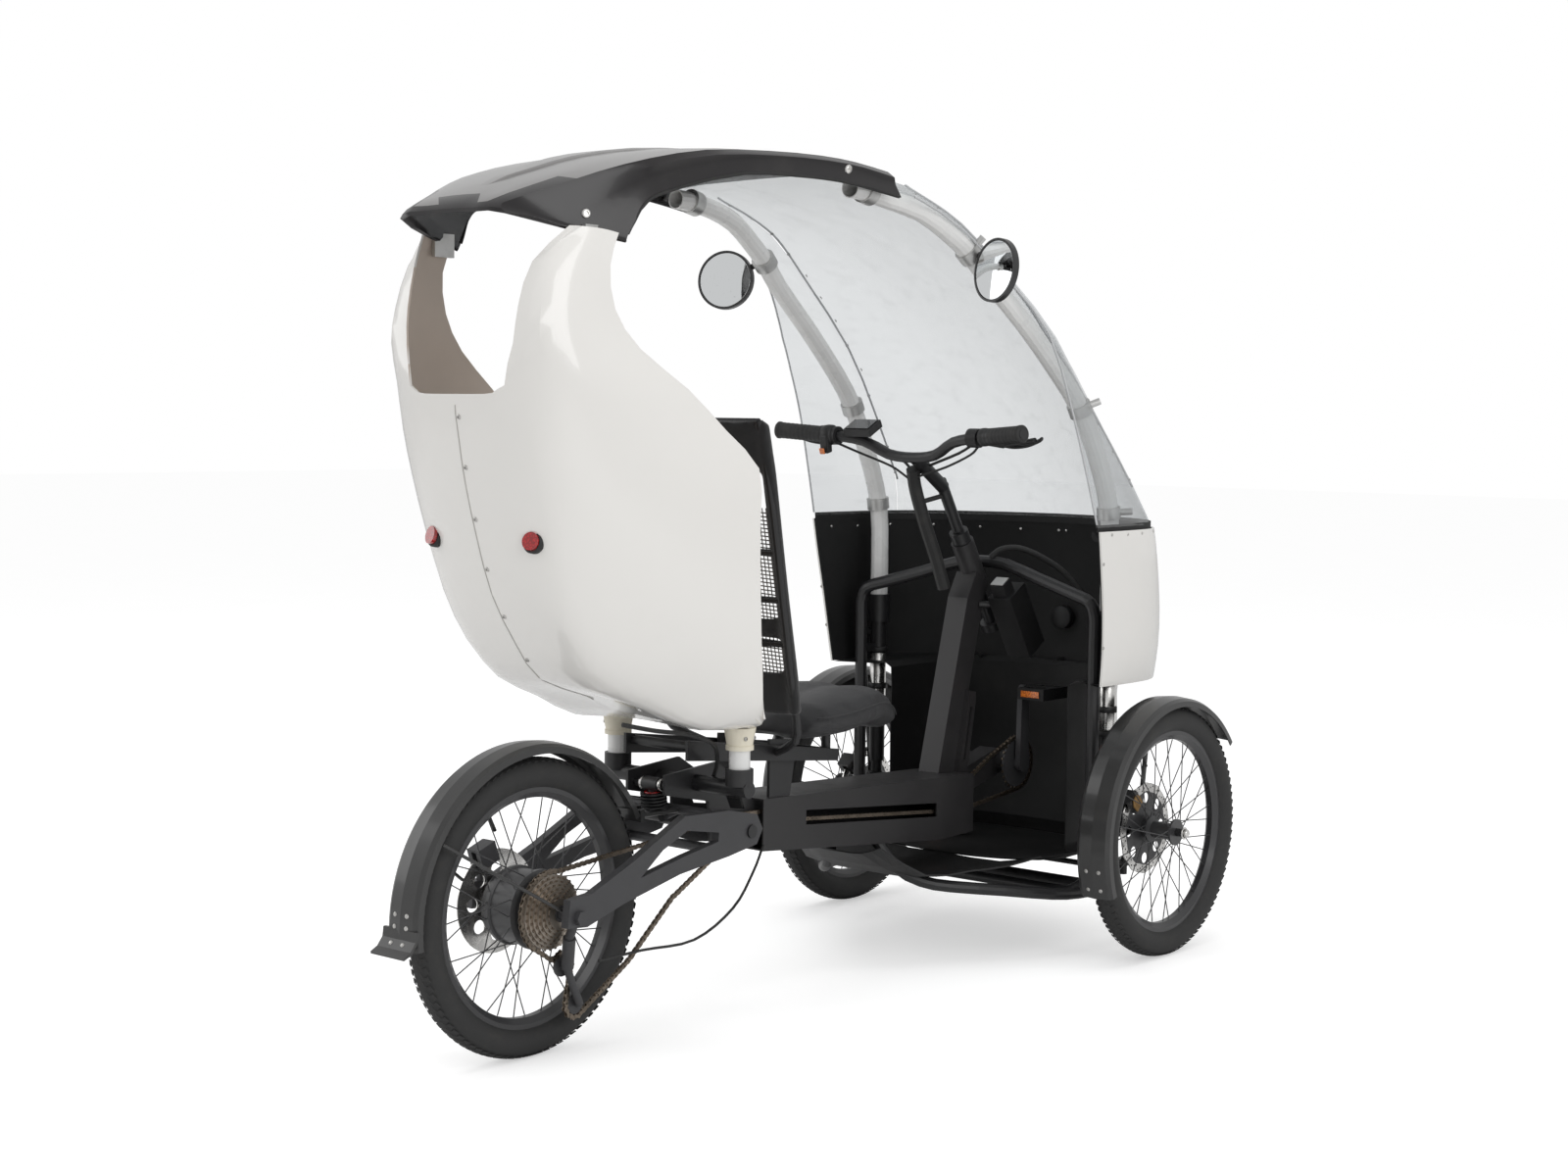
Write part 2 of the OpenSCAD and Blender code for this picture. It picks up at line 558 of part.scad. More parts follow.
module chain() color("gray") {
    up = rear_hub + [26, chain_y, -96];
    low = rear_hub + [58, chain_y, -166];
    path = concat(
        arc_xz(crank_pos, ring_r + 6, 115, -85, 10),
        [[sx(1190), chain_y, sz(284)], [sx(1090), chain_y, sz(292)], [sx(640), chain_y, sz(332)],
         [sx(545), chain_y, sz(330)], [sx(440), chain_y, sz(306)],
         [sx(300), chain_y, sz(232)], [sx(190), chain_y, sz(140)]],
        arc_xz(low, 23, -60, -200, 5),
        arc_xz(up, 23, -20, 150, 5),
        arc_xz(rear_hub, cog_r + 6, 232, 75, 9),
        [[sx(300), chain_y, sz(345)], [sx(440), chain_y, sz(362)], [sx(560), chain_y, sz(358)],
         [sx(800), chain_y, sz(350)], [sx(1190), chain_y, sz(336)], [sx(1290), chain_y, sz(384)]]);
    m = len(path);
    rings = [for (k = [0:m - 1]) let (t = unit(path[(k + 1) % m] - path[(k + m - 1) % m]), v = [-t[2], 0,
        t[0]])
        [path[k] + 4 * v + [0, 4, 0], path[k] - 4 * v + [0, 4, 0], path[k] - 4 * v - [0, 4, 0],
            path[k] + 4 * v - [0, 4, 0]]];
    faces = [for (k = [0:m - 1]) for (j = [0:3])
        let (a = k * 4 + j, b = k * 4 + (j + 1) % 4, c = ((k + 1) % m) * 4 + (j + 1) % 4,
            d = ((k + 1) % m) * 4 + j)
        for (f = [[a, b, c], [a, c, d]]) f];
    polyhedron(points = [for (r = rings) each r], faces = faces);
}

module front_struts() color("black") both_sides() {
    difference() {
        union() {
            bar(at(kingpin_x, kingpin_y, 142.2), at(kingpin_x, kingpin_y, 340), 13);
            bar(at(kingpin_x, kingpin_y, 332), at(kingpin_x, kingpin_y, 664.5), 17);
            bar(at(kingpin_x, kingpin_y, 640), at(kingpin_x, kingpin_y, 700), pillar_d / 2 + 5);
            translate(at(1332, 296, 584)) cube([56, 12, 18], center = true);
            bar(at(1360, 304, 615), at(1362, 350, 615), 9);
        }
        bar(at(kingpin_x, kingpin_y, 664.5), at(kingpin_x, kingpin_y, 710), pillar_d / 2 + 0.1);
        bar(at(1303, 297, 560), at(1303, 297, 610), 13.2);
    }
}

// Leads held by the frame: under the shell, along the swing arm and from the column to the nose.
module frame_cables() color("black") {
    bent_rod(smooth(place([[130,-96,562],[190,-118,548],[260,-132,536],[330,-126,512],[372,-100,474],[392,-70,430]]), 4),
             4, [0, 0, 1], 8);
    bent_rod(smooth(place([[545,-66,300],[470,-104,262],[380,-134,214],[270,-140,176],[150,-128,176],[60,-112,170]]), 4),
             2.5, [0, 0, 1], 8);
    bent_rod(smooth(place([[1322,-26,798],[1336,-44,815],[1358,-76,818],[1392,-114,797],[1424,-152,762],[1446,-196,700]]), 4),
             6, [0, 0, 1], 8);
}

/* ---- seat, battery ---- */

module seat_base() color("black") {
    both_sides() {
        side_plate(side([[318, 514], [318, 478], [748, 434], [752, 456]]), 72, 78);
        side_plate(side([[560, 492], [560, 383], [620, 381], [640, 484]]), 59, 65);
    }
    bar(at(340, -72.5, 500), at(340, 72.5, 500), 9);
    bar(at(600, -72.5, 470.5), at(600, 72.5, 470.5), 9);
    both_sides() bar(at(735, 58, 448), at(735, 58, 485), 9);
    bar(at(730, -72.5, 450), at(730, 72.5, 450), 9);
}

module cushion(list, n = 20, e = 0.7) {
    loft([for (c = list) oval(at(c[0], 0, c[1]), c[2], c[3], n, e)]);
}

module seat_cushions() color("black") {
    cushion([[592, 500, 150, 10], [600, 506, 270, 52], [640, 514, 318, 66], [720, 520, 322, 72], [800, 526,
        290, 78],
        [870, 522, 226, 78], [920, 508, 180, 70], [950, 490, 146, 46], [960, 482, 90, 14]]);
    back = [[514, 560, 250, 10], [508, 566, 300, 24], [498, 610, 316, 34], [470, 760, 324, 36], [438, 930,
        318, 34],
        [414, 1060, 306, 28], [408, 1084, 280, 14], [407, 1089, 200, 6]];
    loft([for (c = back) let (p = at(c[0] + 20.5, 0, c[1]))
        [for (s = [0:19]) let (a = 360 * s / 20)
            p + [c[3] / 2 * sign(cos(a)) * pow(abs(cos(a)), 0.7),
                c[2] / 2 * sign(sin(a)) * pow(abs(sin(a)), 0.5), 0]]]);
}

module seat_frame() color("dimgray") {
    both_sides() bent_tube(smooth(place([[560,82,470],[530,150,500],[514,165,540],[496,168,610],[466,168,760],[434,168,930],
        [404,160,1080]]), 2), 8, 1.5);
    bar(at(404, -160, 1078), at(404, 160, 1078), 7);
    for (k = [[500, 596], [482, 680], [466, 760], [450, 846]]) bar(at(k[0], -168, k[1]), at(k[0], 168,
        k[1]), 6);
}

module battery() color("black") {
    c = at(1352, -74, 668);
    translate(c) rotate([0, -32, 0]) {
        cube([62, 56, 150], center = true);
        translate([-10, 0, 88]) cube([30, 34, 30], center = true);
    }
    bar(at(1310, -48, 700), at(1286, -24, 700), 7);
}

/* ---- handlebar ---- */

bar_rise = [[1018,-307,1060],[1040,-200,1052],[1044,-176,1050],[1060,-112,1040],[1074,-58,1014],[1077,0,1008],
            [1074,58,1014],[1060,112,1040],[1044,176,1050],[1040,200,1052],[1018,307,1060]];

module handlebar() color("black") {
    w = handlebar_w / 614;
    top = head_low + 248 * steer_up;
    bent_rod(smooth([for (v = bar_rise) let (q = at(v[0], 0, v[2])) [q[0], v[1] * w, q[2]]], 3), 11, [0, 0,
        1], 14);
    both_sides() {
        a = at(1020, 0, 1059);
        b = at(1040, 0, 1052);
        bar([a[0], 300 * w, a[2]], [b[0], 198 * w, b[2]], 16);
    }
}

module steering_column() color("black") {
    top = head_low + 246 * steer_up;
    bar(head_low - 126 * steer_up, top, column_r);
    bar(head_low + (head_len + 0.3) * steer_up, head_low + (head_len + 26) * steer_up, 20);
    bar(head_low - 126 * steer_up, head_low - 108 * steer_up, 22);
    bar(top - 16 * steer_up, at(1088.3, 0, 1007), 14);
}

module bar_controls() color("black") {
    w = handlebar_w / 614;
    c = at(1044, 0, 1050);
    for (s = [-1, 1]) difference() {
        union() {
            translate([c[0], s * 176 * w, c[2]]) rotate([90, 0, 0]) cylinder(h = 24, r = 19, center = true);
            bar([c[0] + 14, s * 176 * w, c[2] - 6], [c[0] + 46, s * 214 * w, c[2] - 14], 6);
            bar([c[0] + 45, s * 213 * w, c[2] - 14], [c[0] + 24, s * 300 * w, c[2] - 2], 5);
        }
        translate([c[0], s * 176 * w, c[2]]) rotate([90, 0, 0]) cylinder(h = 60, r = 11.2, center = true);
    }
    d = at(1060, 0, 1040);
    translate([d[0] - 4, 112 * w, d[2] + 26]) rotate([0, -28, 0]) cube([46, 66, 16], center = true);
    bar([d[0], 112 * w, d[2] + 11.2], [d[0], 112 * w, d[2] + 24], 8);
}

// The route of a hose from one side of the bar; its last two points lie in the sleeve's mouth.
function gather(list, s, w) = [for (k = [0:len(list) - 1])
    k < 3 ? [list[k][0], s * list[k][1] * w, list[k][2]] : [list[k][0], 18 + s * (5 - k) * 9, list[k][2]]];

// Brake hoses and leads that gather under the bar and run down the column in one sleeve.
module bar_cables() color("black") {
    w = handlebar_w / 614;
    sleeve = place([[1098,14,984],[1122,24,943],[1157,25,873],[1194,23,802],[1222,20,736]]);
    bent_rod(smooth(sleeve, 4), 14, [0, 1, 0], 10);
    bar(at(1192, 0, 930), at(1136, 24, 915), 5);
    for (s = [-1, 1]) {
        hose = place([[1090,214,1036],[1108,150,1046],[1120,84,1018],[1118,36,986],[1108,18,966]]);
        bent_rod(smooth(gather(hose, s, w), 4), 3, [0, 0, 1], 8);
        lead = place([[1056,176,1034],[1080,140,1016],[1096,70,990],[1102,32,970],[1108,14,962]]);
        bent_rod(smooth(gather(lead, s, w), 4), 2.5, [0, 0, 1], 8);
    }
}

/* ---- steered wheels ---- */

pin_pos = at(kingpin_x, kingpin_y, 0);
hub_left = [front_axle_x, track / 2, axle_z];
arm_pos = [sx(1436), pin_pos[1], sz(172)];

module knuckle() {
    difference() {
        union() {
            translate([pin_pos[0], pin_pos[1], sz(156)]) cylinder(h = 150, r = 21);
            translate([pin_pos[0], pin_pos[1] + 10, axle_z - 16]) cube([58, 26, 32]);
            bar(hub_left + [0, -78, 0], hub_left + [0, -60, 0], 18);
            bar(hub_left + [0, -78, 0], hub_left + [0, 50, 0], axle_r);
            bar([pin_pos[0], pin_pos[1], sz(172)], arm_pos, 6);
            translate(arm_pos) cylinder(h = 14, r = 11, center = true);
            bar(hub_left + [-30, -72, 0], hub_left + [-66, -62, 66], 7);
            translate(hub_left + [-62, 0, 62]) rotate([0, -45, 0]) translate([-16, -62, -18]) cube([32, 34,
                36]);
        }
        translate([pin_pos[0], pin_pos[1], sz(150)]) cylinder(h = 180, r = 13 + fit_gap);
        translate(hub_left + [-62, 0, 62]) rotate([0, -45, 0]) translate([-30, -50, -40]) cube([60, 12, 52]);
        translate(arm_pos) cylinder(h = 40, r = 4 + fit_gap, center = true);
    }
}

module knuckle_left() color("black") knuckle();

module knuckle_right() color("black") mirror([0, 1, 0]) knuckle();

module front_guard() {
    guard_strip(hub_left, axle_z + 17, guard_w, 38, 202);
    bar([front_axle_x, hub_left[1] - 58.5, axle_z + 6], [front_axle_x, hub_left[1] - guard_w / 2 + 1,
        axle_z + 262], 5);
}

module mudguard_left() color("black") front_guard();

module mudguard_right() color("black") mirror([0, 1, 0]) front_guard();

module tie_rod() color("silver") {
    drop = 16;
    bar(arm_pos - [0, 0, drop], [arm_pos[0], -arm_pos[1], arm_pos[2] - drop], 6);
    for (s = [-1, 1]) translate([arm_pos[0], s * arm_pos[1], arm_pos[2] - drop]) {
        cylinder(h = 8.7 * 2, r = 9, center = true);
        cylinder(h = drop + 12, r = 4);
    }
}

/* ---- wheels ---- */

module ring_about(c) translate(c) rotate([90, 0, 0]) children();

module tyre(c) {
    ring_about(c) rotate_extrude($fn = 96) difference() {
        translate([axle_z - tyre_w / 2, 0]) circle(r = tyre_w / 2);
        translate([axle_z - 94, -50]) square([94 - 50, 100]);
    }
}

module rim(c) {
    ring_about(c) {
        rotate_extrude($fn = 96) polygon([[bead_r, -14], [bead_r, 14], [bead_r - 8, 14], [rim_in_r, 6],
            [rim_in_r, -6],
            [bead_r - 8, -14]]);
    }
}

module spokes(c, flange_r, flange_y) {
    ring_about(c) for (k = [0:spoke_count - 1]) {
        side_y = k % 2 == 0 ? flange_y : -flange_y;
        a = 360 * k / spoke_count;
        b = a + (k % 4 < 2 ? 22 : -22);
        bar([(flange_r + 1) * cos(b), (flange_r + 1) * sin(b), side_y],
            [(rim_in_r - 0.8) * cos(a), (rim_in_r - 0.8) * sin(a), side_y > 0 ? 3 : -3], 1.1);
    }
}

module front_hub(s) {
    ring_about([hub_left[0], s * hub_left[1], hub_left[2]]) difference() {
        rotate_extrude() polygon([[0, -30], [27, -30], [27, -26], [17, -22], [17, 22], [27, 26], [27, 30],
            [20, 30],
            [20, 43], [92, 43], [92, 45], [0, 45]]);
        cylinder(h = 200, r = hub_bore_r, center = true);
        for (k = [0:7]) rotate([0, 0, 45 * k]) translate([62, 0, 38]) cylinder(h = 20, r = 11);
    }
}

module front_left_tyre() color("black") tyre(hub_left);
module front_left_rim() color("black") {
    rim(hub_left);
    spokes(hub_left, 27, 27);
}
module front_left_hub() color("black") front_hub(1);
module front_right_tyre() color("black") mirror([0, 1, 0]) tyre(hub_left);
module front_right_rim() color("black") mirror([0, 1, 0]) {
    rim(hub_left);
    spokes(hub_left, 27, 27);
}
module front_right_hub() color("black") mirror([0, 1, 0]) front_hub(1);

module rear_tyre() color("black") tyre(rear_hub);
module rear_rim() color("black") {
    rim(rear_hub);
    spokes(rear_hub, 68, 27);
}
module hub_motor() color("black") ring_about(rear_hub) difference() {
    rotate_extrude($fn = 96) polygon([[0, -60], [40, -60], [60, -48], [62, -32], [68, -31], [68, -24], [64,
        -22], [64, 22],
        [68, 24], [68, 31], [60, 34], [24, 40], [18, 44], [18, 55.7], [13.7, 55.7], [13.7, 84], [0, 84]]);
    cylinder(h = 200, r = hub_bore_r, center = true);
}
module rear_disc() color("silver") ring_about(rear_hub) difference() {
    union() {
        translate([0, 0, -76]) cylinder(h = 2, r = 90);
        translate([0, 0, -76]) cylinder(h = 15.7, r = 26);
    }
    cylinder(h = 200, r = 14, center = true);
    for (k = [0:7]) rotate([0, 0, 45 * k]) translate([56, 0, -80]) cylinder(h = 20, r = 12);
}
module cassette() color("gray") ring_about(rear_hub) difference() {
    union() for (k = [0:6]) translate([0, 0, 56 + k * 4]) cylinder(h = k < 6 ? 4.001 : 2, r = cog_r - 6 * k);
    cylinder(h = 200, r = 14, center = true);
}

arm_y = 73.5;

module crankset() color("dimgray") {
    ring_about(crank_pos) cylinder(h = 2 * arm_y, r = spindle_r, center = true);
    ring_about(crank_pos) translate([0, 0, 56]) cylinder(h = 4, r = ring_r);
    for (s = [-1, 1]) {
        a = crank_pos + [0, s * arm_y, 0];
        b = a - [0, 0, s * crank_l];
        hull() for (p = [a, b]) translate(p) rotate([90, 0, 0]) cylinder(h = 12, r = p == a ? 17 : 13,
            center = true, $fn = 32);
        bar(b - [0, s * 5, 0], b + [0, s * 76, 0], 5);
    }
}

module pedals() color("black") {
    for (s = [-1, 1]) {
        b = crank_pos + [0, s * arm_y, -s * crank_l];
        translate(b + [0, s * 48, 0]) difference() {
            cube([92, 64, 24], center = true);
            rotate([90, 0, 0]) cylinder(h = 80, r = 5, center = true);
            for (q = [-1, 1]) translate([q * 26, 0, 0]) cube([22, 46, 30], center = true);
        }
    }
}

main_beam();
mast();
front_arch();
floor_frame();
floor_tray();
rear_frame();
swing_arm();
rear_shock();
rear_mudguard();
rear_caliper();
derailleur();
chain();
front_struts();
seat_base();
seat_cushions();
seat_frame();
battery();
frame_cables();
rear_shell_left();
rear_shell_right();
tail_lights();
headlight();
shell_supports();
roof();
roof_tubes();
tube_clamps();
windscreen();
side_screens();
nose_cowl();
nose_liner();
wiper();
mirrors();
handlebar();
steering_column();
bar_controls();
bar_cables();
knuckle_left();
knuckle_right();
mudguard_left();
mudguard_right();
tie_rod();
front_left_tyre();
front_left_rim();
front_left_hub();
front_right_tyre();
front_right_rim();
front_right_hub();
rear_tyre();
rear_rim();
hub_motor();
rear_disc();
cassette();
crankset();
pedals();
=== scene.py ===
"""A three-wheeled pedal vehicle with a weather shell: its finishes and fine details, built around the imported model.

Lengths inside the classes are in millimetres, counted from the middle of the rear axle on the floor (x ahead,
y to the left, z up). `at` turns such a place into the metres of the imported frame.
"""

import json
import logging
import math
from dataclasses import dataclass
from enum import Enum

import bmesh
import bpy
from mathutils import Matrix, Vector
from mathutils.bvhtree import BVHTree

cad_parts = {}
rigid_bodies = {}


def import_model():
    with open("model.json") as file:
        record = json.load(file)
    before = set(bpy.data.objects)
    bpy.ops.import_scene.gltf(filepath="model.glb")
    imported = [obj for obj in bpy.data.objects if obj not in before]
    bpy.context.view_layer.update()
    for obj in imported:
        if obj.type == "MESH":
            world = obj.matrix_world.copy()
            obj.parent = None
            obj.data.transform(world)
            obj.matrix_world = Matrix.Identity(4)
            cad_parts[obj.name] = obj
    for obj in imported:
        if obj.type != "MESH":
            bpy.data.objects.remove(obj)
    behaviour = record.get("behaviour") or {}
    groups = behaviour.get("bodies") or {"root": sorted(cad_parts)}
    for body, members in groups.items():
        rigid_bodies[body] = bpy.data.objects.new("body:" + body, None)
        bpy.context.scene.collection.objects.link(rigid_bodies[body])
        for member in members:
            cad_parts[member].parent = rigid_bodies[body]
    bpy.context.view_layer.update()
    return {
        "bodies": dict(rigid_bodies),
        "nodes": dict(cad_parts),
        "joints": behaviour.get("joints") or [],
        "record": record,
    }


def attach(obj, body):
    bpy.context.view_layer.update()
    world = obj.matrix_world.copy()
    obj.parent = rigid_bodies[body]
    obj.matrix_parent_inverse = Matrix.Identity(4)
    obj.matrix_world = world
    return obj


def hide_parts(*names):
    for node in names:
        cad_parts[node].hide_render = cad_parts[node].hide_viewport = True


LOG = logging.getLogger("vehicle")
MM = 0.001
REAR_AXLE_X = -681.0


def at(x: float, y: float, z: float) -> Vector:
    """A place in millimetres from the rear axle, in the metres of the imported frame."""
    return Vector((x + REAR_AXLE_X, y, z)) * MM


def about(centre: Vector, y: float, reach: float, turn: float) -> Vector:
    """A place at an angle and a reach about a wheel's axle, y off its centre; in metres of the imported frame."""
    return at(centre.x + math.cos(turn) * reach, centre.y + y, centre.z + math.sin(turn) * reach)


# ---------------------------------------------------------------- shader maths


class Sock:
    """A shader socket that takes part in Python expressions."""

    def __init__(self, graph: "Graph", socket: bpy.types.NodeSocket) -> None:
        """Wraps one output socket of a graph."""
        self.graph = graph
        self.socket = socket

    def _math(self, operation: str, first: object, second: object = None, clamp: bool = False) -> "Sock":
        """Adds one Math node.

        Args:
            operation: the Math node's operation.
            first: a Sock or a number.
            second: a Sock or a number, or None for an operation with one input.
            clamp: keep the result between 0 and 1.

        Returns:
            The node's result.
        """
        inputs = {0: first} if second is None else {0: first, 1: second}
        return self.graph.node("ShaderNodeMath", {"operation": operation, "use_clamp": clamp}, inputs)

    def __add__(self, other: object) -> "Sock":
        """self + other."""
        return self._math("ADD", self, other)

    __radd__ = __add__

    def __sub__(self, other: object) -> "Sock":
        """self - other."""
        return self._math("SUBTRACT", self, other)

    def __rsub__(self, other: object) -> "Sock":
        """other - self."""
        return self._math("SUBTRACT", other, self)

    def __mul__(self, other: object) -> "Sock":
        """self * other."""
        return self._math("MULTIPLY", self, other)

    __rmul__ = __mul__

    def __truediv__(self, other: object) -> "Sock":
        """self / other."""
        return self._math("DIVIDE", self, other)

    def __pow__(self, other: object) -> "Sock":
        """self ** other."""
        return self._math("POWER", self, other)

    def sine(self) -> "Sock":
        """The sine of self."""
        return self._math("SINE", self)

    def absolute(self) -> "Sock":
        """The size of self without its sign."""
        return self._math("ABSOLUTE", self)

    def above(self, edge: object) -> "Sock":
        """1 where self is greater than edge, else 0."""
        return self._math("GREATER_THAN", self, edge)

    def ramp(self, low: float, high: float) -> "Sock":
        """0 below low, 1 above high and smooth between."""
        return self.graph.node(
            "ShaderNodeMapRange",
            {"interpolation_type": "SMOOTHSTEP"},
            {"Value": self, "From Min": low, "From Max": high},
        )


class Graph:
    """The node tree of one material."""

    def __init__(self, name: str) -> None:
        """Makes an empty material with an output node."""
        self.material = bpy.data.materials.new(name)
        self.material.use_nodes = True
        self.tree = self.material.node_tree
        self.tree.nodes.clear()
        self.output = self.tree.nodes.new("ShaderNodeOutputMaterial")

    def node(self, kind: str, settings: dict | None = None, inputs: dict | None = None, out: object = 0) -> Sock:
        """Adds any node.

        Args:
            kind: the node's type name.
            settings: attributes that are set before the inputs.
            inputs: socket name or index to a Sock, a number, a colour or a vector.
            out: name or index of the output that is returned.

        Returns:
            The chosen output.
        """
        made = self.tree.nodes.new(kind)
        for name, value in (settings or {}).items():
            if name == "stops":
                self._stops(made, value)
            else:
                setattr(made, name, value)
        for key, value in (inputs or {}).items():
            socket = made.inputs[key]
            if isinstance(value, Sock):
                self.tree.links.new(value.socket, socket)
            else:
                socket.default_value = value
        return Sock(self, made.outputs[out])

    @staticmethod
    def _stops(ramp_node: bpy.types.Node, stops: list[tuple[float, tuple]]) -> None:
        """Writes a colour ramp's stops."""
        elements = ramp_node.color_ramp.elements
        while len(elements) > 1:
            elements.remove(elements[-1])
        elements[0].position, elements[0].color = stops[0]
        for position, colour in stops[1:]:
            elements.new(position).color = colour

    def coordinates(self) -> Sock:
        """The place on the piece, in metres of the frame."""
        return self.node("ShaderNodeTexCoord", out="Object")

    def axis(self, name: str) -> Sock:
        """One of the three coordinates, X, Y or Z."""
        return self.node("ShaderNodeSeparateXYZ", inputs={0: self.coordinates()}, out=name)

    def noise(self, scale: float, detail: float = 3.0, rough: float = 0.5) -> Sock:
        """Soft noise over the piece, from 0 to 1."""
        return self.node(
            "ShaderNodeTexNoise",
            inputs={"Vector": self.coordinates(), "Scale": scale, "Detail": detail, "Roughness": rough},
        )

    def stretched_noise(self, scale: tuple[float, float, float], detail: float = 2.0) -> Sock:
        """Noise drawn out along one axis, as on brushed metal or wiped plastic."""
        mapped = self.node("ShaderNodeMapping", inputs={"Vector": self.coordinates(), "Scale": scale})
        return self.node("ShaderNodeTexNoise", inputs={"Vector": mapped, "Scale": 1.0, "Detail": detail})

    def mix(self, factor: object, first: object, second: object) -> Sock:
        """One colour over another by a factor."""
        made = self.tree.nodes.new("ShaderNodeMix")
        made.data_type = "RGBA"
        for socket, value in ((made.inputs[0], factor), (made.inputs[6], first), (made.inputs[7], second)):
            if isinstance(value, Sock):
                self.tree.links.new(value.socket, socket)
            else:
                socket.default_value = value if isinstance(value, float) else tone(value)
        return Sock(self, made.outputs[2])

    def bump(self, height: Sock, strength: float, distance: float) -> Sock:
        """A normal that is raised by a height."""
        return self.node(
            "ShaderNodeBump", inputs={"Height": height, "Strength": strength, "Distance": distance}
        )

    def surface(self, inputs: dict) -> Sock:
        """A Principled BSDF with these inputs."""
        return self.node("ShaderNodeBsdfPrincipled", inputs=inputs)

    def finish(self, shader: Sock) -> bpy.types.Material:
        """Joins a shader to the output and gives the material back."""
        self.tree.links.new(shader.socket, self.output.inputs["Surface"])
        return self.material


def tone(colour: tuple) -> tuple[float, float, float, float]:
    """A colour with its fourth value."""
    return (colour[0], colour[1], colour[2], 1.0)


def scaled(colour: tuple, factor: float) -> tuple[float, float, float]:
    """A colour made lighter or darker."""
    return tuple(min(1.0, c * factor) for c in colour[:3])


# ---------------------------------------------------------------- finishes


class Surface(Enum):
    """The kinds of surface that the vehicle is made of."""

    PAINT = "paint"
    GELCOAT = "gelcoat"
    PLASTIC = "plastic"
    METAL = "metal"
    RUBBER = "rubber"
    CLEAR = "clear"
    LENS = "lens"
    GRAIN = "grain"
    CLOTH = "cloth"
    GLASS_MIRROR = "glass_mirror"


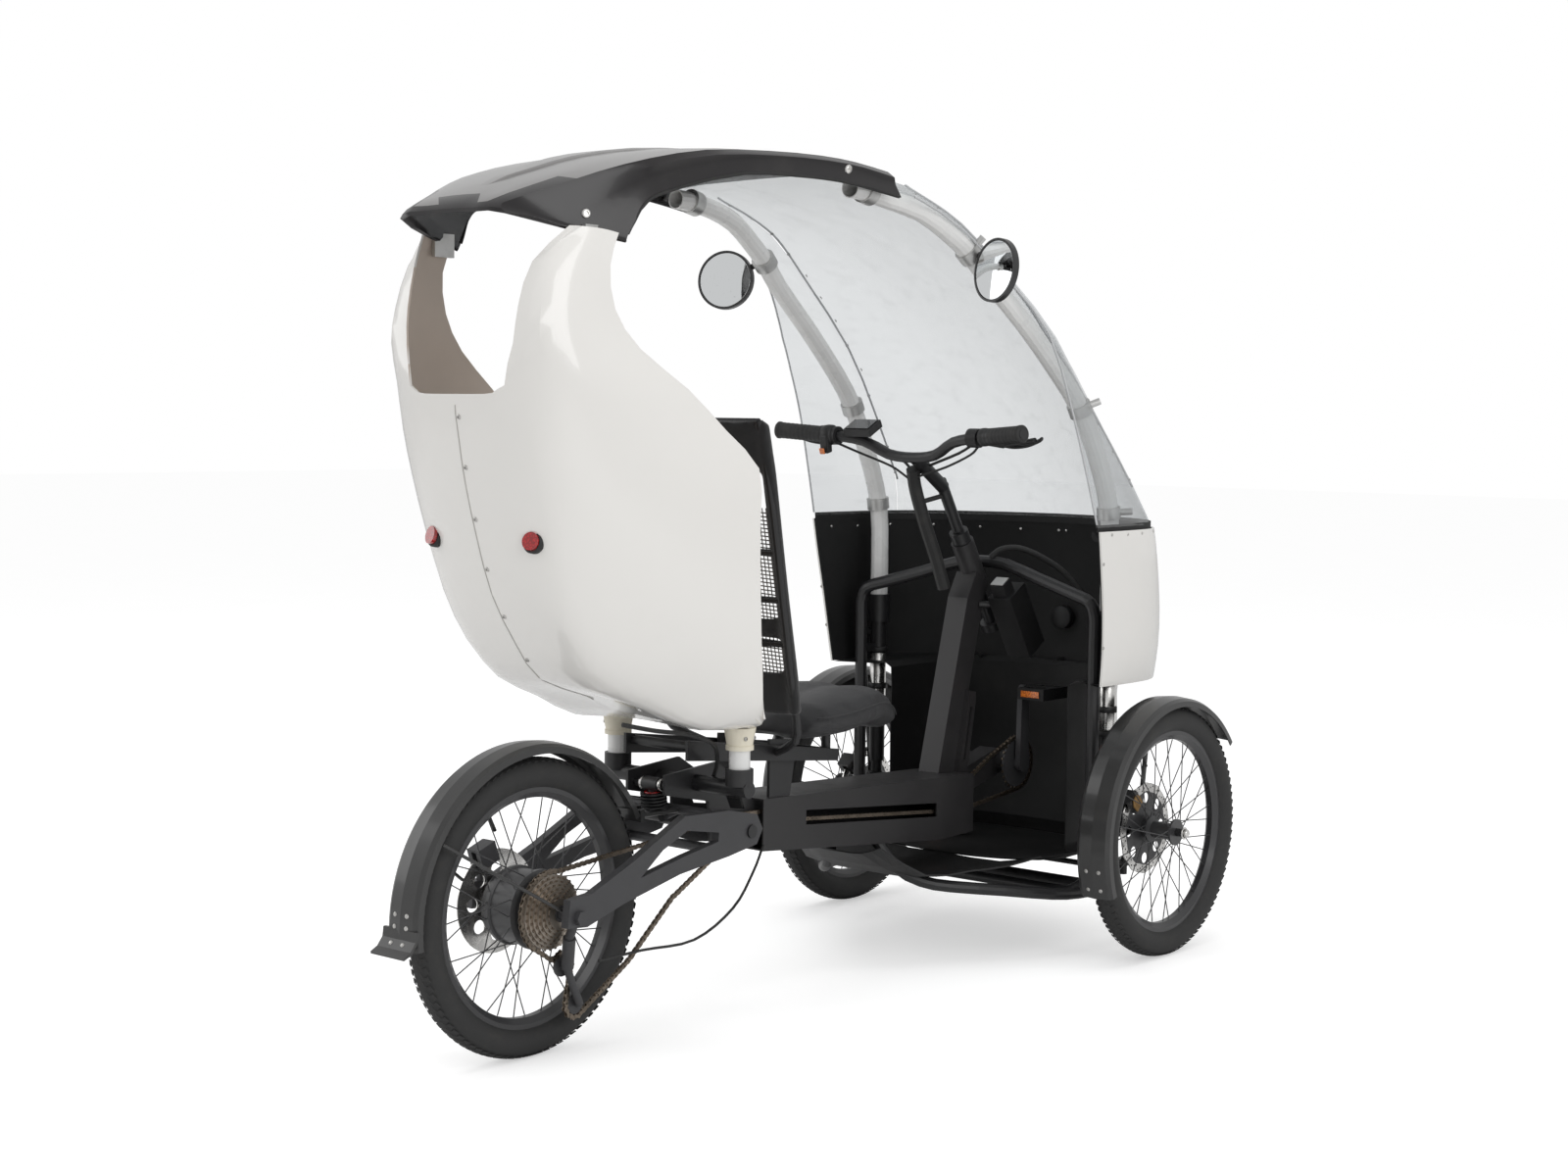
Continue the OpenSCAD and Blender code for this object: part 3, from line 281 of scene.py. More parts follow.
@dataclass(frozen=True)
class Finish:
    """One finish: its name, the record's slot, its colours and how its surface behaves."""

    name: str
    slot: str
    kind: Surface
    colour: tuple[float, float, float]
    roughness: float = 0.4
    spread: float = 0.12
    coat: float = 0.0
    bump: float = 0.1
    scale: float = 60.0

    def material(self) -> bpy.types.Material:
        """Builds the node material of this finish."""
        graph = Graph(self.name)
        maker = {
            Surface.PAINT: self._paint,
            Surface.GELCOAT: self._gelcoat,
            Surface.PLASTIC: self._plastic,
            Surface.METAL: self._metal,
            Surface.RUBBER: self._rubber,
            Surface.CLEAR: self._clear,
            Surface.LENS: self._lens,
            Surface.GRAIN: self._grain,
            Surface.CLOTH: self._cloth,
            Surface.GLASS_MIRROR: self._mirror,
        }[self.kind]
        return graph.finish(maker(graph))

    def _dust(self, graph: Graph) -> Sock:
        """Faint settled dust, more of it low down on the vehicle."""
        height = graph.axis("Z")
        low = 1 - height.ramp(0.05, 0.9)
        return graph.noise(9.0, 5.0, 0.6).ramp(0.45, 0.85) * (low * 0.6 + 0.15)

    def _paint(self, graph: Graph) -> Sock:
        """Powder-coated tube: fine orange peel, a little dust and worn bright spots."""
        dust = self._dust(graph)
        cloud = graph.noise(22.0, 3.0)
        base = graph.mix(cloud, scaled(self.colour, 1 - self.spread), scaled(self.colour, 1 + self.spread))
        colour = graph.mix(dust * 0.12, base, (0.12, 0.115, 0.105))
        peel = graph.noise(self.scale * 9, 2.0)
        return graph.surface({
            "Base Color": colour,
            "Roughness": cloud * 0.12 + (dust * 0.2 + self.roughness),
            "Normal": graph.bump(peel, self.bump, 0.0004),
            "Coat Weight": self.coat,
            "Coat Roughness": 0.12,
        })

    def _gelcoat(self, graph: Graph) -> Sock:
        """Glossy moulded shell: slow waves in the surface, a trace of dust and a slightly uneven colour."""
        cloud = graph.noise(3.5, 4.0)
        dust = self._dust(graph)
        base = graph.mix(cloud, scaled(self.colour, 1 - self.spread), scaled(self.colour, 1 + self.spread))
        colour = graph.mix(dust * 0.16, base, (0.52, 0.49, 0.43))
        wave = graph.noise(6.0, 1.0)
        peel = graph.noise(420.0, 1.0)
        return graph.surface({
            "Base Color": colour,
            "Roughness": dust * 0.22 + (cloud * 0.06 + self.roughness),
            "Coat Weight": self.coat,
            "Coat Roughness": 0.04,
            "Normal": graph.bump(wave * 0.8 + peel * 0.02, self.bump, 0.004),
        })

    def _plastic(self, graph: Graph) -> Sock:
        """Moulded plastic: fine spark-eroded grain and lighter scuffs."""
        grain = graph.node("ShaderNodeTexVoronoi", inputs={"Vector": graph.coordinates(), "Scale": self.scale * 10})
        cloud = graph.noise(14.0, 4.0)
        dust = self._dust(graph)
        base = graph.mix(cloud, scaled(self.colour, 1 - self.spread), scaled(self.colour, 1 + self.spread))
        return graph.surface({
            "Base Color": graph.mix(dust * 0.14, base, (0.14, 0.13, 0.12)),
            "Roughness": cloud * 0.15 + self.roughness,
            "Normal": graph.bump(grain, self.bump, 0.0005),
            "Coat Weight": self.coat,
        })

    def _metal(self, graph: Graph) -> Sock:
        """Bare or plated metal with fine turning lines and dull patches."""
        lines = graph.stretched_noise((900.0, 40.0, 900.0))
        patch = graph.noise(30.0, 4.0).ramp(0.4, 0.75)
        colour = graph.mix(patch, self.colour, scaled(self.colour, 1 - self.spread))
        return graph.surface({
            "Base Color": colour,
            "Metallic": 1.0,
            "Roughness": patch * 0.14 + (lines * 0.1 + self.roughness),
            "Normal": graph.bump(lines, self.bump, 0.0002),
        })

    def _rubber(self, graph: Graph) -> Sock:
        """Tyre and seal rubber: dull, slightly browned and dusty."""
        cloud = graph.noise(12.0, 5.0)
        dust = graph.noise(45.0, 4.0).ramp(0.5, 0.8)
        base = graph.mix(cloud, scaled(self.colour, 0.85), scaled(self.colour, 1.25))
        return graph.surface({
            "Base Color": graph.mix(dust * 0.16, base, (0.11, 0.102, 0.09)),
            "Roughness": dust * 0.1 + self.roughness,
            "Normal": graph.bump(graph.noise(700.0, 2.0), self.bump, 0.0005),
        })

    def _clear(self, graph: Graph) -> Sock:
        """Clear sheet: mostly see-through, with a grey tint, faint wipe marks and a gloss."""
        wiped = graph.stretched_noise((6.0, 38.0, 38.0), 3.0).ramp(0.45, 0.9)
        sheen = graph.surface({
            "Base Color": tone(self.colour),
            "Roughness": wiped * 0.12 + self.roughness,
            "Specular IOR Level": 0.6,
        })
        through = graph.node("ShaderNodeBsdfTransparent", inputs={"Color": tone((0.93, 0.94, 0.945))})
        edge = graph.node("ShaderNodeLayerWeight", inputs={"Blend": 0.32}, out="Facing")
        factor = edge * 0.34 + (wiped * 0.05 + 0.055)
        return graph.node("ShaderNodeMixShader", inputs={0: factor, 1: through, 2: sheen})

    def _lens(self, graph: Graph) -> Sock:
        """Lamp lens: glossy coloured plastic with fine prisms behind it."""
        prisms = graph.node(
            "ShaderNodeTexVoronoi", inputs={"Vector": graph.coordinates(), "Scale": self.scale * 5}
        )
        colour = graph.mix(prisms.ramp(0.1, 0.7), scaled(self.colour, 1.3), scaled(self.colour, 0.6))
        return graph.surface({
            "Base Color": colour,
            "Roughness": self.roughness,
            "Coat Weight": self.coat,
            "Coat Roughness": 0.05,
            "Normal": graph.bump(prisms, self.bump, 0.0006),
        })

    def _grain(self, graph: Graph) -> Sock:
        """Grained vinyl: small cells with creases between, painted darker as painted shade in the creases, shinier
        where it is worn.
        """
        cells = graph.node(
            "ShaderNodeTexVoronoi",
            {"feature": "DISTANCE_TO_EDGE"},
            {"Vector": graph.coordinates(), "Scale": self.scale * 6},
            out="Distance",
        )
        creases_and_shade = cells.ramp(0.0, 0.12)
        cloud = graph.noise(10.0, 4.0)
        base = graph.mix(cloud, scaled(self.colour, 1 - self.spread), scaled(self.colour, 1 + self.spread))
        return graph.surface({
            # The creases are painted darker: painted shade in the creases.
            "Base Color": graph.mix(creases_and_shade, scaled(self.colour, 0.55), base),
            "Roughness": cloud * 0.16 + self.roughness,
            "Normal": graph.bump(creases_and_shade, self.bump, 0.0006),
            "Sheen Weight": 0.08,
        })

    def _cloth(self, graph: Graph) -> Sock:
        """Woven fabric: crossing threads with painted shade in the gaps between them, a fuzz of sheen and soft changes
        of tone.
        """
        threads = self.scale * 40
        place = graph.coordinates()
        across = graph.node("ShaderNodeSeparateXYZ", inputs={0: place}, out="Y")
        up = graph.node("ShaderNodeSeparateXYZ", inputs={0: place}, out="Z")
        warp = (across * threads).sine().absolute()
        weft = (up * threads).sine().absolute()
        weave_and_gap_shade = warp * weft
        cloud = graph.noise(16.0, 4.0)
        base = graph.mix(cloud, scaled(self.colour, 1 - self.spread), scaled(self.colour, 1 + self.spread))
        return graph.surface({
            # Darker between the threads: painted shade in the gaps of the weave.
            "Base Color": graph.mix(weave_and_gap_shade, scaled(self.colour, 0.55), base),
            "Roughness": cloud * 0.1 + self.roughness,
            "Normal": graph.bump(weave_and_gap_shade, self.bump, 0.0007),
            "Sheen Weight": 0.3,
            "Sheen Roughness": 0.5,
        })

    def _mirror(self, graph: Graph) -> Sock:
        """Silvered glass with a few specks of dust."""
        specks = graph.noise(160.0, 3.0).ramp(0.62, 0.75)
        return graph.surface({
            "Base Color": graph.mix(specks * 0.2, self.colour, (0.5, 0.5, 0.48)),
            "Metallic": 1.0,
            "Roughness": specks * 0.25 + self.roughness,
        })


class Finishes:
    """Every finish of the vehicle, each made once when it is first asked for."""

    FRAME = Finish("frame_coat", "frame_black", Surface.PAINT, (0.014, 0.014, 0.015), 0.36, 0.2, 0.1, 0.16)
    SATIN = Finish("satin_coat", "satin_grey", Surface.PAINT, (0.045, 0.045, 0.048), 0.42, 0.16, 0.05, 0.2)
    PLASTIC = Finish("black_moulding", "black_plastic", Surface.PLASTIC, (0.012, 0.012, 0.0125), 0.42, 0.2, 0.0, 0.15)
    LINER = Finish("liner_moulding", "black_plastic", Surface.PLASTIC, (0.006, 0.006, 0.0063), 0.6, 0.25, 0.0, 0.25)
    BOX = Finish("box_coat", "frame_black", Surface.PAINT, (0.022, 0.021, 0.022), 0.42, 0.16, 0.05, 0.2)
    GUARD = Finish("guard_moulding", "black_plastic", Surface.PAINT, (0.022, 0.022, 0.022), 0.3, 0.1, 0.5, 0.04)
    COG = Finish("cog_steel", "steel", Surface.METAL, (0.42, 0.37, 0.32), 0.32, 0.3, 0.0, 0.3)
    STEEL = Finish("plain_steel", "steel", Surface.METAL, (0.56, 0.55, 0.53), 0.28, 0.2, 0.0, 0.2)
    CHAIN = Finish("oiled_steel", "steel", Surface.METAL, (0.24, 0.2, 0.16), 0.36, 0.35, 0.0, 0.3)
    BRIGHT = Finish("bright_steel", "steel", Surface.METAL, (0.78, 0.77, 0.75), 0.16, 0.1, 0.0, 0.06)
    BRONZE = Finish("bronze_anodised", "satin_grey", Surface.METAL, (0.36, 0.22, 0.09), 0.34, 0.2, 0.0, 0.1)
    VINYL = Finish("seat_vinyl", "vinyl", Surface.GRAIN, (0.022, 0.022, 0.024), 0.42, 0.25, 0.0, 0.5, 60.0)
    CANVAS = Finish("backrest_cloth", "vinyl", Surface.CLOTH, (0.013, 0.013, 0.014), 0.82, 0.25, 0.0, 0.5, 50.0)
    NET = Finish("backrest_net", "vinyl", Surface.CLOTH, (0.33, 0.31, 0.28), 0.78, 0.15, 0.0, 0.8, 34.0)
    SHELL = Finish("shell_gelcoat", "shell_white", Surface.GELCOAT, (0.83, 0.815, 0.785), 0.16, 0.015, 0.7, 0.12)
    # A darker, warmer copy of the shell's white: painted shade on the faces that look into the shell.
    SHELL_INSIDE_PAINTED_SHADE = Finish("shell_inner_painted_shade", "shell_white", Surface.PLASTIC, (0.62, 0.54, 0.47), 0.5, 0.06, 0.0, 0.2)
    ROOF = Finish("roof_gelcoat", "roof_charcoal", Surface.GELCOAT, (0.007, 0.0055, 0.0065), 0.2, 0.1, 0.15, 0.05)
    # A lighter grey copy of the roof's charcoal: painted reflection on the roof's top faces and its rib.
    ROOF_TOP_PAINTED_REFLECTION = Finish("roof_top_painted_reflection", "roof_charcoal", Surface.GELCOAT, (0.17, 0.165, 0.163), 0.26, 0.05, 0.6, 0.05)
    EDGE = Finish("sheet_edge", "clear", Surface.PLASTIC, (0.55, 0.56, 0.57), 0.25, 0.05, 0.4, 0.05)
    SEAM = Finish("shell_joint", "shell_white", Surface.PLASTIC, (0.45, 0.44, 0.41), 0.5, 0.05, 0.0, 0.05)
    TUBE = Finish("tube_enamel", "tube_white", Surface.PAINT, (0.8, 0.8, 0.79), 0.22, 0.02, 0.5, 0.05)
    CREAM = Finish("cream_moulding", "cream", Surface.PLASTIC, (0.78, 0.73, 0.6), 0.42, 0.05, 0.0, 0.1)
    CLAMP = Finish("clamp_alloy", "clamp_grey", Surface.METAL, (0.62, 0.62, 0.61), 0.34, 0.15, 0.0, 0.12)
    RED = Finish("red_lens", "lens_red", Surface.LENS, (0.42, 0.008, 0.01), 0.12, 0.1, 1.0, 0.3)
    ORANGE = Finish("orange_reflector", "lens_red", Surface.LENS, (0.85, 0.2, 0.02), 0.15, 0.1, 1.0, 0.4)
    LAMP = Finish("lamp_lens", "lens_clear", Surface.LENS, (0.78, 0.8, 0.82), 0.1, 0.05, 1.0, 0.4)
    CLEAR = Finish("clear_sheet", "clear", Surface.CLEAR, (0.5, 0.5, 0.5), 0.04)
    MIRROR_BODY = Finish("mirror_moulding", "mirror_black", Surface.PLASTIC, (0.024, 0.024, 0.025), 0.3, 0.1, 0.2, 0.1)
    MIRROR_GLASS = Finish("mirror_glass", "lens_clear", Surface.GLASS_MIRROR, (0.86, 0.88, 0.89), 0.015)
    TYRE = Finish("tyre_rubber", "tyre", Surface.RUBBER, (0.024, 0.024, 0.024), 0.74, 0.1, 0.0, 0.3)
    SEAL = Finish("seal_rubber", "tyre", Surface.RUBBER, (0.016, 0.016, 0.016), 0.6, 0.1, 0.0, 0.2)
    RIM = Finish("rim_coat", "rim_black", Surface.PAINT, (0.03, 0.03, 0.032), 0.3, 0.1, 0.3, 0.08)
    HUB = Finish("hub_coat", "hub_black", Surface.PAINT, (0.04, 0.04, 0.042), 0.32, 0.12, 0.2, 0.1)
    DISPLAY = Finish("display_glass", "black_plastic", Surface.PLASTIC, (0.01, 0.012, 0.014), 0.08, 0.1, 1.0, 0.0)

    _made: dict[str, bpy.types.Material] = {}

    @classmethod
    def get(cls, finish: Finish) -> bpy.types.Material:
        """The material of a finish."""
        if finish.name not in cls._made:
            cls._made[finish.name] = finish.material()
        return cls._made[finish.name]


# ---------------------------------------------------------------- shapes


def mesh_piece(name: str, points: list, faces: list, smooth: bool = True) -> bpy.types.Object:
    """Makes a mesh object at the origin.

    Args:
        name: the piece's name.
        points: places in metres.
        faces: tuples of point numbers.
        smooth: shade the faces smooth.

    Returns:
        The new object, linked to the scene, with its normals facing out.
    """
    mesh = bpy.data.meshes.new(name)
    mesh.from_pydata([tuple(p) for p in points], [], [tuple(f) for f in faces])
    made = bpy.data.objects.new(name, mesh)
    bpy.context.scene.collection.objects.link(made)
    tidy_normals(made)
    for face in mesh.polygons:
        face.use_smooth = smooth
    return made


def tidy_normals(piece: bpy.types.Object, merge: float = 1e-6) -> None:
    """Merges doubled points and turns every face outwards."""
    work = bmesh.new()
    work.from_mesh(piece.data)
    bmesh.ops.remove_doubles(work, verts=work.verts, dist=merge)
    bmesh.ops.recalc_face_normals(work, faces=work.faces)
    work.to_mesh(piece.data)
    work.free()


def ring_frames(path: list[Vector], closed: bool = False) -> list[tuple[Vector, Vector, Vector]]:
    """Two sideways directions at each point of a path, carried along it without twist.

    Args:
        path: the points.
        closed: whether the last point joins the first.

    Returns:
        For each point, the point itself and two unit directions across the path.
    """
    count = len(path)
    frames = []
    side = None
    for k, point in enumerate(path):
        ahead = path[(k + 1) % count] if closed or k < count - 1 else point
        behind = path[k - 1] if closed or k > 0 else point
        along = (ahead - behind).normalized()
        if side is None:
            side = along.orthogonal().normalized()
        side = (side - along * side.dot(along)).normalized()
        frames.append((point, side, along.cross(side).normalized()))
    return frames


def tube_mesh(
    name: str, path: list[Vector], radius: float, sides: int = 10, closed: bool = False, flat: float = 1.0
) -> bpy.types.Object:
    """Sweeps a round or flattened section along a path.

    Args:
        name: the piece's name.
        path: the centre line, in metres.
        radius: of the section, in metres.
        sides: of the section.
        closed: join the end to the start.
        flat: second radius as a share of the first.

    Returns:
        The tube, with closed ends.
    """
    points, faces = [], []
    frames = ring_frames(path, closed)
    for place, side, up in frames:
        for j in range(sides):
            turn = 2 * math.pi * j / sides
            points.append(place + side * radius * math.cos(turn) + up * radius * flat * math.sin(turn))
    rings = len(frames)
    for k in range(rings if closed else rings - 1):
        for j in range(sides):
            first, second = k * sides, ((k + 1) % rings) * sides
            after = (j + 1) % sides
            faces.append((first + j, first + after, second + after, second + j))
    if not closed:
        faces.append(tuple(range(sides)))
        faces.append(tuple((rings - 1) * sides + j for j in range(sides)))
    return mesh_piece(name, points, faces)


def curved(points: list[Vector], steps: int = 6) -> list[Vector]:
    """A smooth line through a few points (Catmull-Rom)."""
    line = []
    for k in range(len(points) - 1):
        before = points[max(k - 1, 0)]
        start, end = points[k], points[k + 1]
        after = points[min(k + 2, len(points) - 1)]
        for j in range(steps):
            t = j / steps
            line.append(
                0.5 * (2 * start + (end - before) * t
                       + (2 * before - 5 * start + 4 * end - after) * t * t
                       + (3 * start - before - 3 * end + after) * t ** 3)
            )
    line.append(points[-1].copy())
    return line


def spaced(line: list[Vector], step: float, start: float = 0.0) -> list[Vector]:
    """Points at equal steps along a line.

    Args:
        line: the points of the line.
        step: the distance between the new points.
        start: the distance of the first one from the line's start.

    Returns:
        The new points.
    """
    made, due = [], start
    for first, second in zip(line, line[1:]):
        length = (second - first).length
        while due <= length and length > 0:
            made.append(first.lerp(second, due / length))
            due += step
        due -= length
    return made


def lathe(
    name: str, profile: list[tuple[float, float]], centre: Vector, axis: Vector, sides: int = 48
) -> bpy.types.Object:
    """Turns a profile about an axis.

    Args:
        name: the piece's name.
        profile: (radius, height along the axis) pairs in metres; a radius of 0 closes a pole.
        centre: the place of height 0.
        axis: the direction of height.
        sides: around.

    Returns:
        The turned piece.
    """
    axis = axis.normalized()
    side = axis.orthogonal().normalized()
    other = axis.cross(side)
    points, faces = [], []
    for radius, height in profile:
        for j in range(sides):
            turn = 2 * math.pi * j / sides
            points.append(centre + axis * height + (side * math.cos(turn) + other * math.sin(turn)) * radius)
    for k in range(len(profile) - 1):
        for j in range(sides):
            after = (j + 1) % sides
            faces.append((k * sides + j, k * sides + after, (k + 1) * sides + after, (k + 1) * sides + j))
    return mesh_piece(name, points, faces)


def slab(name: str, outline: list[Vector], depth: Vector, bevel: float = 0.0) -> bpy.types.Object:
    """A flat outline pushed along a direction, with its edges rounded.

    Args:
        name: the piece's name.
        outline: the points of one face, in order.
        depth: the push.
        bevel: radius of the rounded edges.

    Returns:
        The solid piece.
    """
    count = len(outline)
    points = list(outline) + [p + depth for p in outline]
    faces = [tuple(range(count)), tuple(range(count, 2 * count))]
    faces += [(k, (k + 1) % count, count + (k + 1) % count, count + k) for k in range(count)]
    made = mesh_piece(name, points, faces, smooth=False)
    if bevel > 0:
        work = bmesh.new()
        work.from_mesh(made.data)
        bmesh.ops.bevel(
            work, geom=list(work.edges), offset=bevel, segments=2, profile=0.5, affect="EDGES", clamp_overlap=True
        )
        work.to_mesh(made.data)
        work.free()
    return made


def joined(name: str, parts: list[bpy.types.Object]) -> bpy.types.Object:
    """Joins pieces into one object that keeps each one's materials."""
    for piece in bpy.context.selected_objects:
        piece.select_set(False)
    for piece in parts:
        piece.select_set(True)
    bpy.context.view_layer.objects.active = parts[0]
    if len(parts) > 1:
        bpy.ops.object.join()
    whole = bpy.context.view_layer.objects.active
    whole.name = name
    whole.data.name = name
    return whole


def dress(piece: bpy.types.Object, finish: Finish, body: str) -> bpy.types.Object:
    """Gives a piece its finish and its body, and reports it.

    Args:
        piece: a finished piece at the origin.
        finish: what it is made of.
        body: the body that it rides on.

    Returns:
        The piece.
    """
    piece.data.materials.clear()
    piece.data.materials.append(Finishes.get(finish))
    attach(piece, body)
    LOG.info("%s: %d faces, on %s", piece.name, len(piece.data.polygons), body)
    return piece


class Skin:
    """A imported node's surface, on which places are looked up."""

    def __init__(self, node: str, frame: dict) -> None:
        """Reads the surface of one node."""
        work = bmesh.new()
        work.from_mesh(frame["nodes"][node].data)
        self.tree = BVHTree.FromBMesh(work)
        work.free()

    def nearest(self, place: Vector) -> tuple[Vector, Vector]:
        """The nearest place on the surface, with its outward direction."""
        found, normal, _face, _distance = self.tree.find_nearest(place)
        return found, normal

    def below(self, place: Vector) -> tuple[Vector, Vector]:
        """The first place under a point, with its outward direction."""
        found, normal, _face, _distance = self.tree.ray_cast(place, Vector((0, 0, -1)))
        return (found, normal) if found is not None else self.nearest(place)

    def seen_from(self, eye: Vector, place: Vector) -> tuple[Vector, Vector]:
        """The first place of the surface on the way from one point towards another."""
        found, normal, _face, _distance = self.tree.ray_cast(eye, (place - eye).normalized())
        return (found, normal) if found is not None else self.nearest(place)


# ---------------------------------------------------------------- what repeats


class Shape(Enum):
    """The small parts that are set out in numbers."""

    RIVET = "rivet"
    SCREW = "screw"
    BLOCK = "block"
    LINK = "link"


class Repeater:
    """Sets out one small shape at many places with a Geometry Nodes tree."""

    def __init__(self) -> None:
        """Builds the tree and the small shapes."""
        self.tree = self._tree()
        self.shapes = {
            Shape.RIVET: self._rivet(),
            Shape.SCREW: self._screw(),
            Shape.BLOCK: self._block(),
            Shape.LINK: self._link(),
        }

    @staticmethod
    def _hidden(name: str, points: list, faces: list) -> bpy.types.Object:
        """A small shape that is only used to be repeated."""
        mesh = bpy.data.meshes.new(name)
        mesh.from_pydata(points, [], faces)
        work = bmesh.new()
        work.from_mesh(mesh)
        bmesh.ops.remove_doubles(work, verts=work.verts, dist=1e-6)
        bmesh.ops.recalc_face_normals(work, faces=work.faces)
        work.to_mesh(mesh)
        work.free()
        return bpy.data.objects.new(name, mesh)

    @classmethod
    def _turned(cls, name: str, profile: list[tuple[float, float]], sides: int) -> bpy.types.Object:
        """A small turned shape about Z."""
        points = [
            (r * math.cos(2 * math.pi * j / sides), r * math.sin(2 * math.pi * j / sides), z)
            for r, z in profile for j in range(sides)
        ]
        faces = [
            (k * sides + j, k * sides + (j + 1) % sides, (k + 1) * sides + (j + 1) % sides, (k + 1) * sides + j)
            for k in range(len(profile) - 1) for j in range(sides)
        ]
        return cls._hidden(name, points, faces)

    def _rivet(self) -> bpy.types.Object:
        """A domed rivet head of radius 1."""
        return self._turned("rivet", [(0, -0.3), (1, -0.3), (1, 0.1), (0.8, 0.42), (0.42, 0.6), (0, 0.64)], 10)

    def _screw(self) -> bpy.types.Object:
        """A button head of radius 1 with a six-sided socket."""
        return self._turned(
            "screw",
            [(0, -0.3), (1, -0.3), (1, 0.15), (0.86, 0.5), (0.58, 0.68), (0.48, 0.68), (0.44, 0.2), (0, 0.2)],
            12,
        )

    def _block(self) -> bpy.types.Object:
        """A block of side 1 that narrows a little to its top."""
        low = [(-0.5, -0.5, -0.6), (0.5, -0.5, -0.6), (0.5, 0.5, -0.6), (-0.5, 0.5, -0.6)]
        high = [(0.86 * x, 0.86 * y, 0.5) for x, y, _z in low]
        faces = [(0, 1, 2, 3), (4, 5, 6, 7), (0, 1, 5, 4), (1, 2, 6, 5), (2, 3, 7, 6), (3, 0, 4, 7)]
        return self._hidden("block", low + high, faces)

    def _link(self) -> bpy.types.Object:
        """A chain link one pitch long: two side plates with round ends, and a roller."""
        outline = [(-0.62, 0), (-0.5, 0.3), (-0.25, 0.3), (0, 0.2), (0.25, 0.3), (0.5, 0.3), (0.62, 0)]
        outline += [(x, -y) for x, y in outline[-2:0:-1]]
        points, faces = [], []
        for low, high in ((-0.34, -0.24), (0.24, 0.34)):
            start = len(points)
            count = len(outline)
            points += [(x, low, z) for x, z in outline] + [(x, high, z) for x, z in outline]
            faces += [tuple(range(start, start + count)), tuple(range(start + count, start + 2 * count))]
            faces += [
                (start + k, start + (k + 1) % count, start + count + (k + 1) % count, start + count + k)
                for k in range(count)
            ]
        start, sides = len(points), 8
        for y in (-0.25, 0.25):
            points += [
                (0.5 + 0.28 * math.cos(2 * math.pi * j / sides), y, 0.28 * math.sin(2 * math.pi * j / sides))
                for j in range(sides)
            ]
        faces += [
            (start + j, start + (j + 1) % sides, start + sides + (j + 1) % sides, start + sides + j)
            for j in range(sides)
        ]
        faces += [tuple(range(start, start + sides)), tuple(range(start + sides, start + 2 * sides))]
        return self._hidden("link", points, faces)

    @staticmethod
    def _tree() -> bpy.types.NodeTree:
        """The tree: instances on points, turned by two stored directions, made real and given a material."""
        tree = bpy.data.node_groups.new("set_out", "GeometryNodeTree")
        face = tree.interface
        face.new_socket("Geometry", in_out="INPUT", socket_type="NodeSocketGeometry")
        face.new_socket("Shape", in_out="INPUT", socket_type="NodeSocketObject")
        face.new_socket("Size", in_out="INPUT", socket_type="NodeSocketVector")
        face.new_socket("Turn", in_out="INPUT", socket_type="NodeSocketFloat")
        face.new_socket("Seed", in_out="INPUT", socket_type="NodeSocketInt")
        face.new_socket("Material", in_out="INPUT", socket_type="NodeSocketMaterial")
        face.new_socket("Geometry", in_out="OUTPUT", socket_type="NodeSocketGeometry")
        nodes, links = tree.nodes, tree.links
        entry = nodes.new("NodeGroupInput")
        leave = nodes.new("NodeGroupOutput")
        shape = nodes.new("GeometryNodeObjectInfo")
        links.new(entry.outputs["Shape"], shape.inputs["Object"])
        turns = []
        for attribute, axis in (("facing", "Z"), ("along", "X")):
            stored = nodes.new("GeometryNodeInputNamedAttribute")
            stored.data_type = "FLOAT_VECTOR"
            stored.inputs["Name"].default_value = attribute
            align = nodes.new("FunctionNodeAlignRotationToVector")
            align.axis = axis
            if turns:
                align.pivot_axis = "Z"
                links.new(turns[-1].outputs["Rotation"], align.inputs["Rotation"])
            links.new(stored.outputs["Attribute"], align.inputs["Vector"])
            turns.append(align)
        chance = nodes.new("FunctionNodeRandomValue")
        chance.data_type = "FLOAT"
        links.new(entry.outputs["Turn"], chance.inputs[3])
        links.new(entry.outputs["Seed"], chance.inputs["Seed"])
        spin = nodes.new("FunctionNodeAxisAngleToRotation")
        spin.inputs["Axis"].default_value = (0, 0, 1)
        links.new(chance.outputs[1], spin.inputs["Angle"])
        both = nodes.new("FunctionNodeRotateRotation")
        both.rotation_space = "LOCAL"
        links.new(turns[-1].outputs["Rotation"], both.inputs["Rotation"])
        links.new(spin.outputs["Rotation"], both.inputs["Rotate By"])
        place = nodes.new("GeometryNodeInstanceOnPoints")
        links.new(entry.outputs["Geometry"], place.inputs["Points"])
        links.new(shape.outputs["Geometry"], place.inputs["Instance"])
        links.new(both.outputs["Rotation"], place.inputs["Rotation"])
        links.new(entry.outputs["Size"], place.inputs["Scale"])
        real = nodes.new("GeometryNodeRealizeInstances")
        links.new(place.outputs["Instances"], real.inputs["Geometry"])
        coat = nodes.new("GeometryNodeSetMaterial")
        links.new(real.outputs["Geometry"], coat.inputs["Geometry"])
        links.new(entry.outputs["Material"], coat.inputs["Material"])
        links.new(coat.outputs["Geometry"], leave.inputs["Geometry"])
        return tree

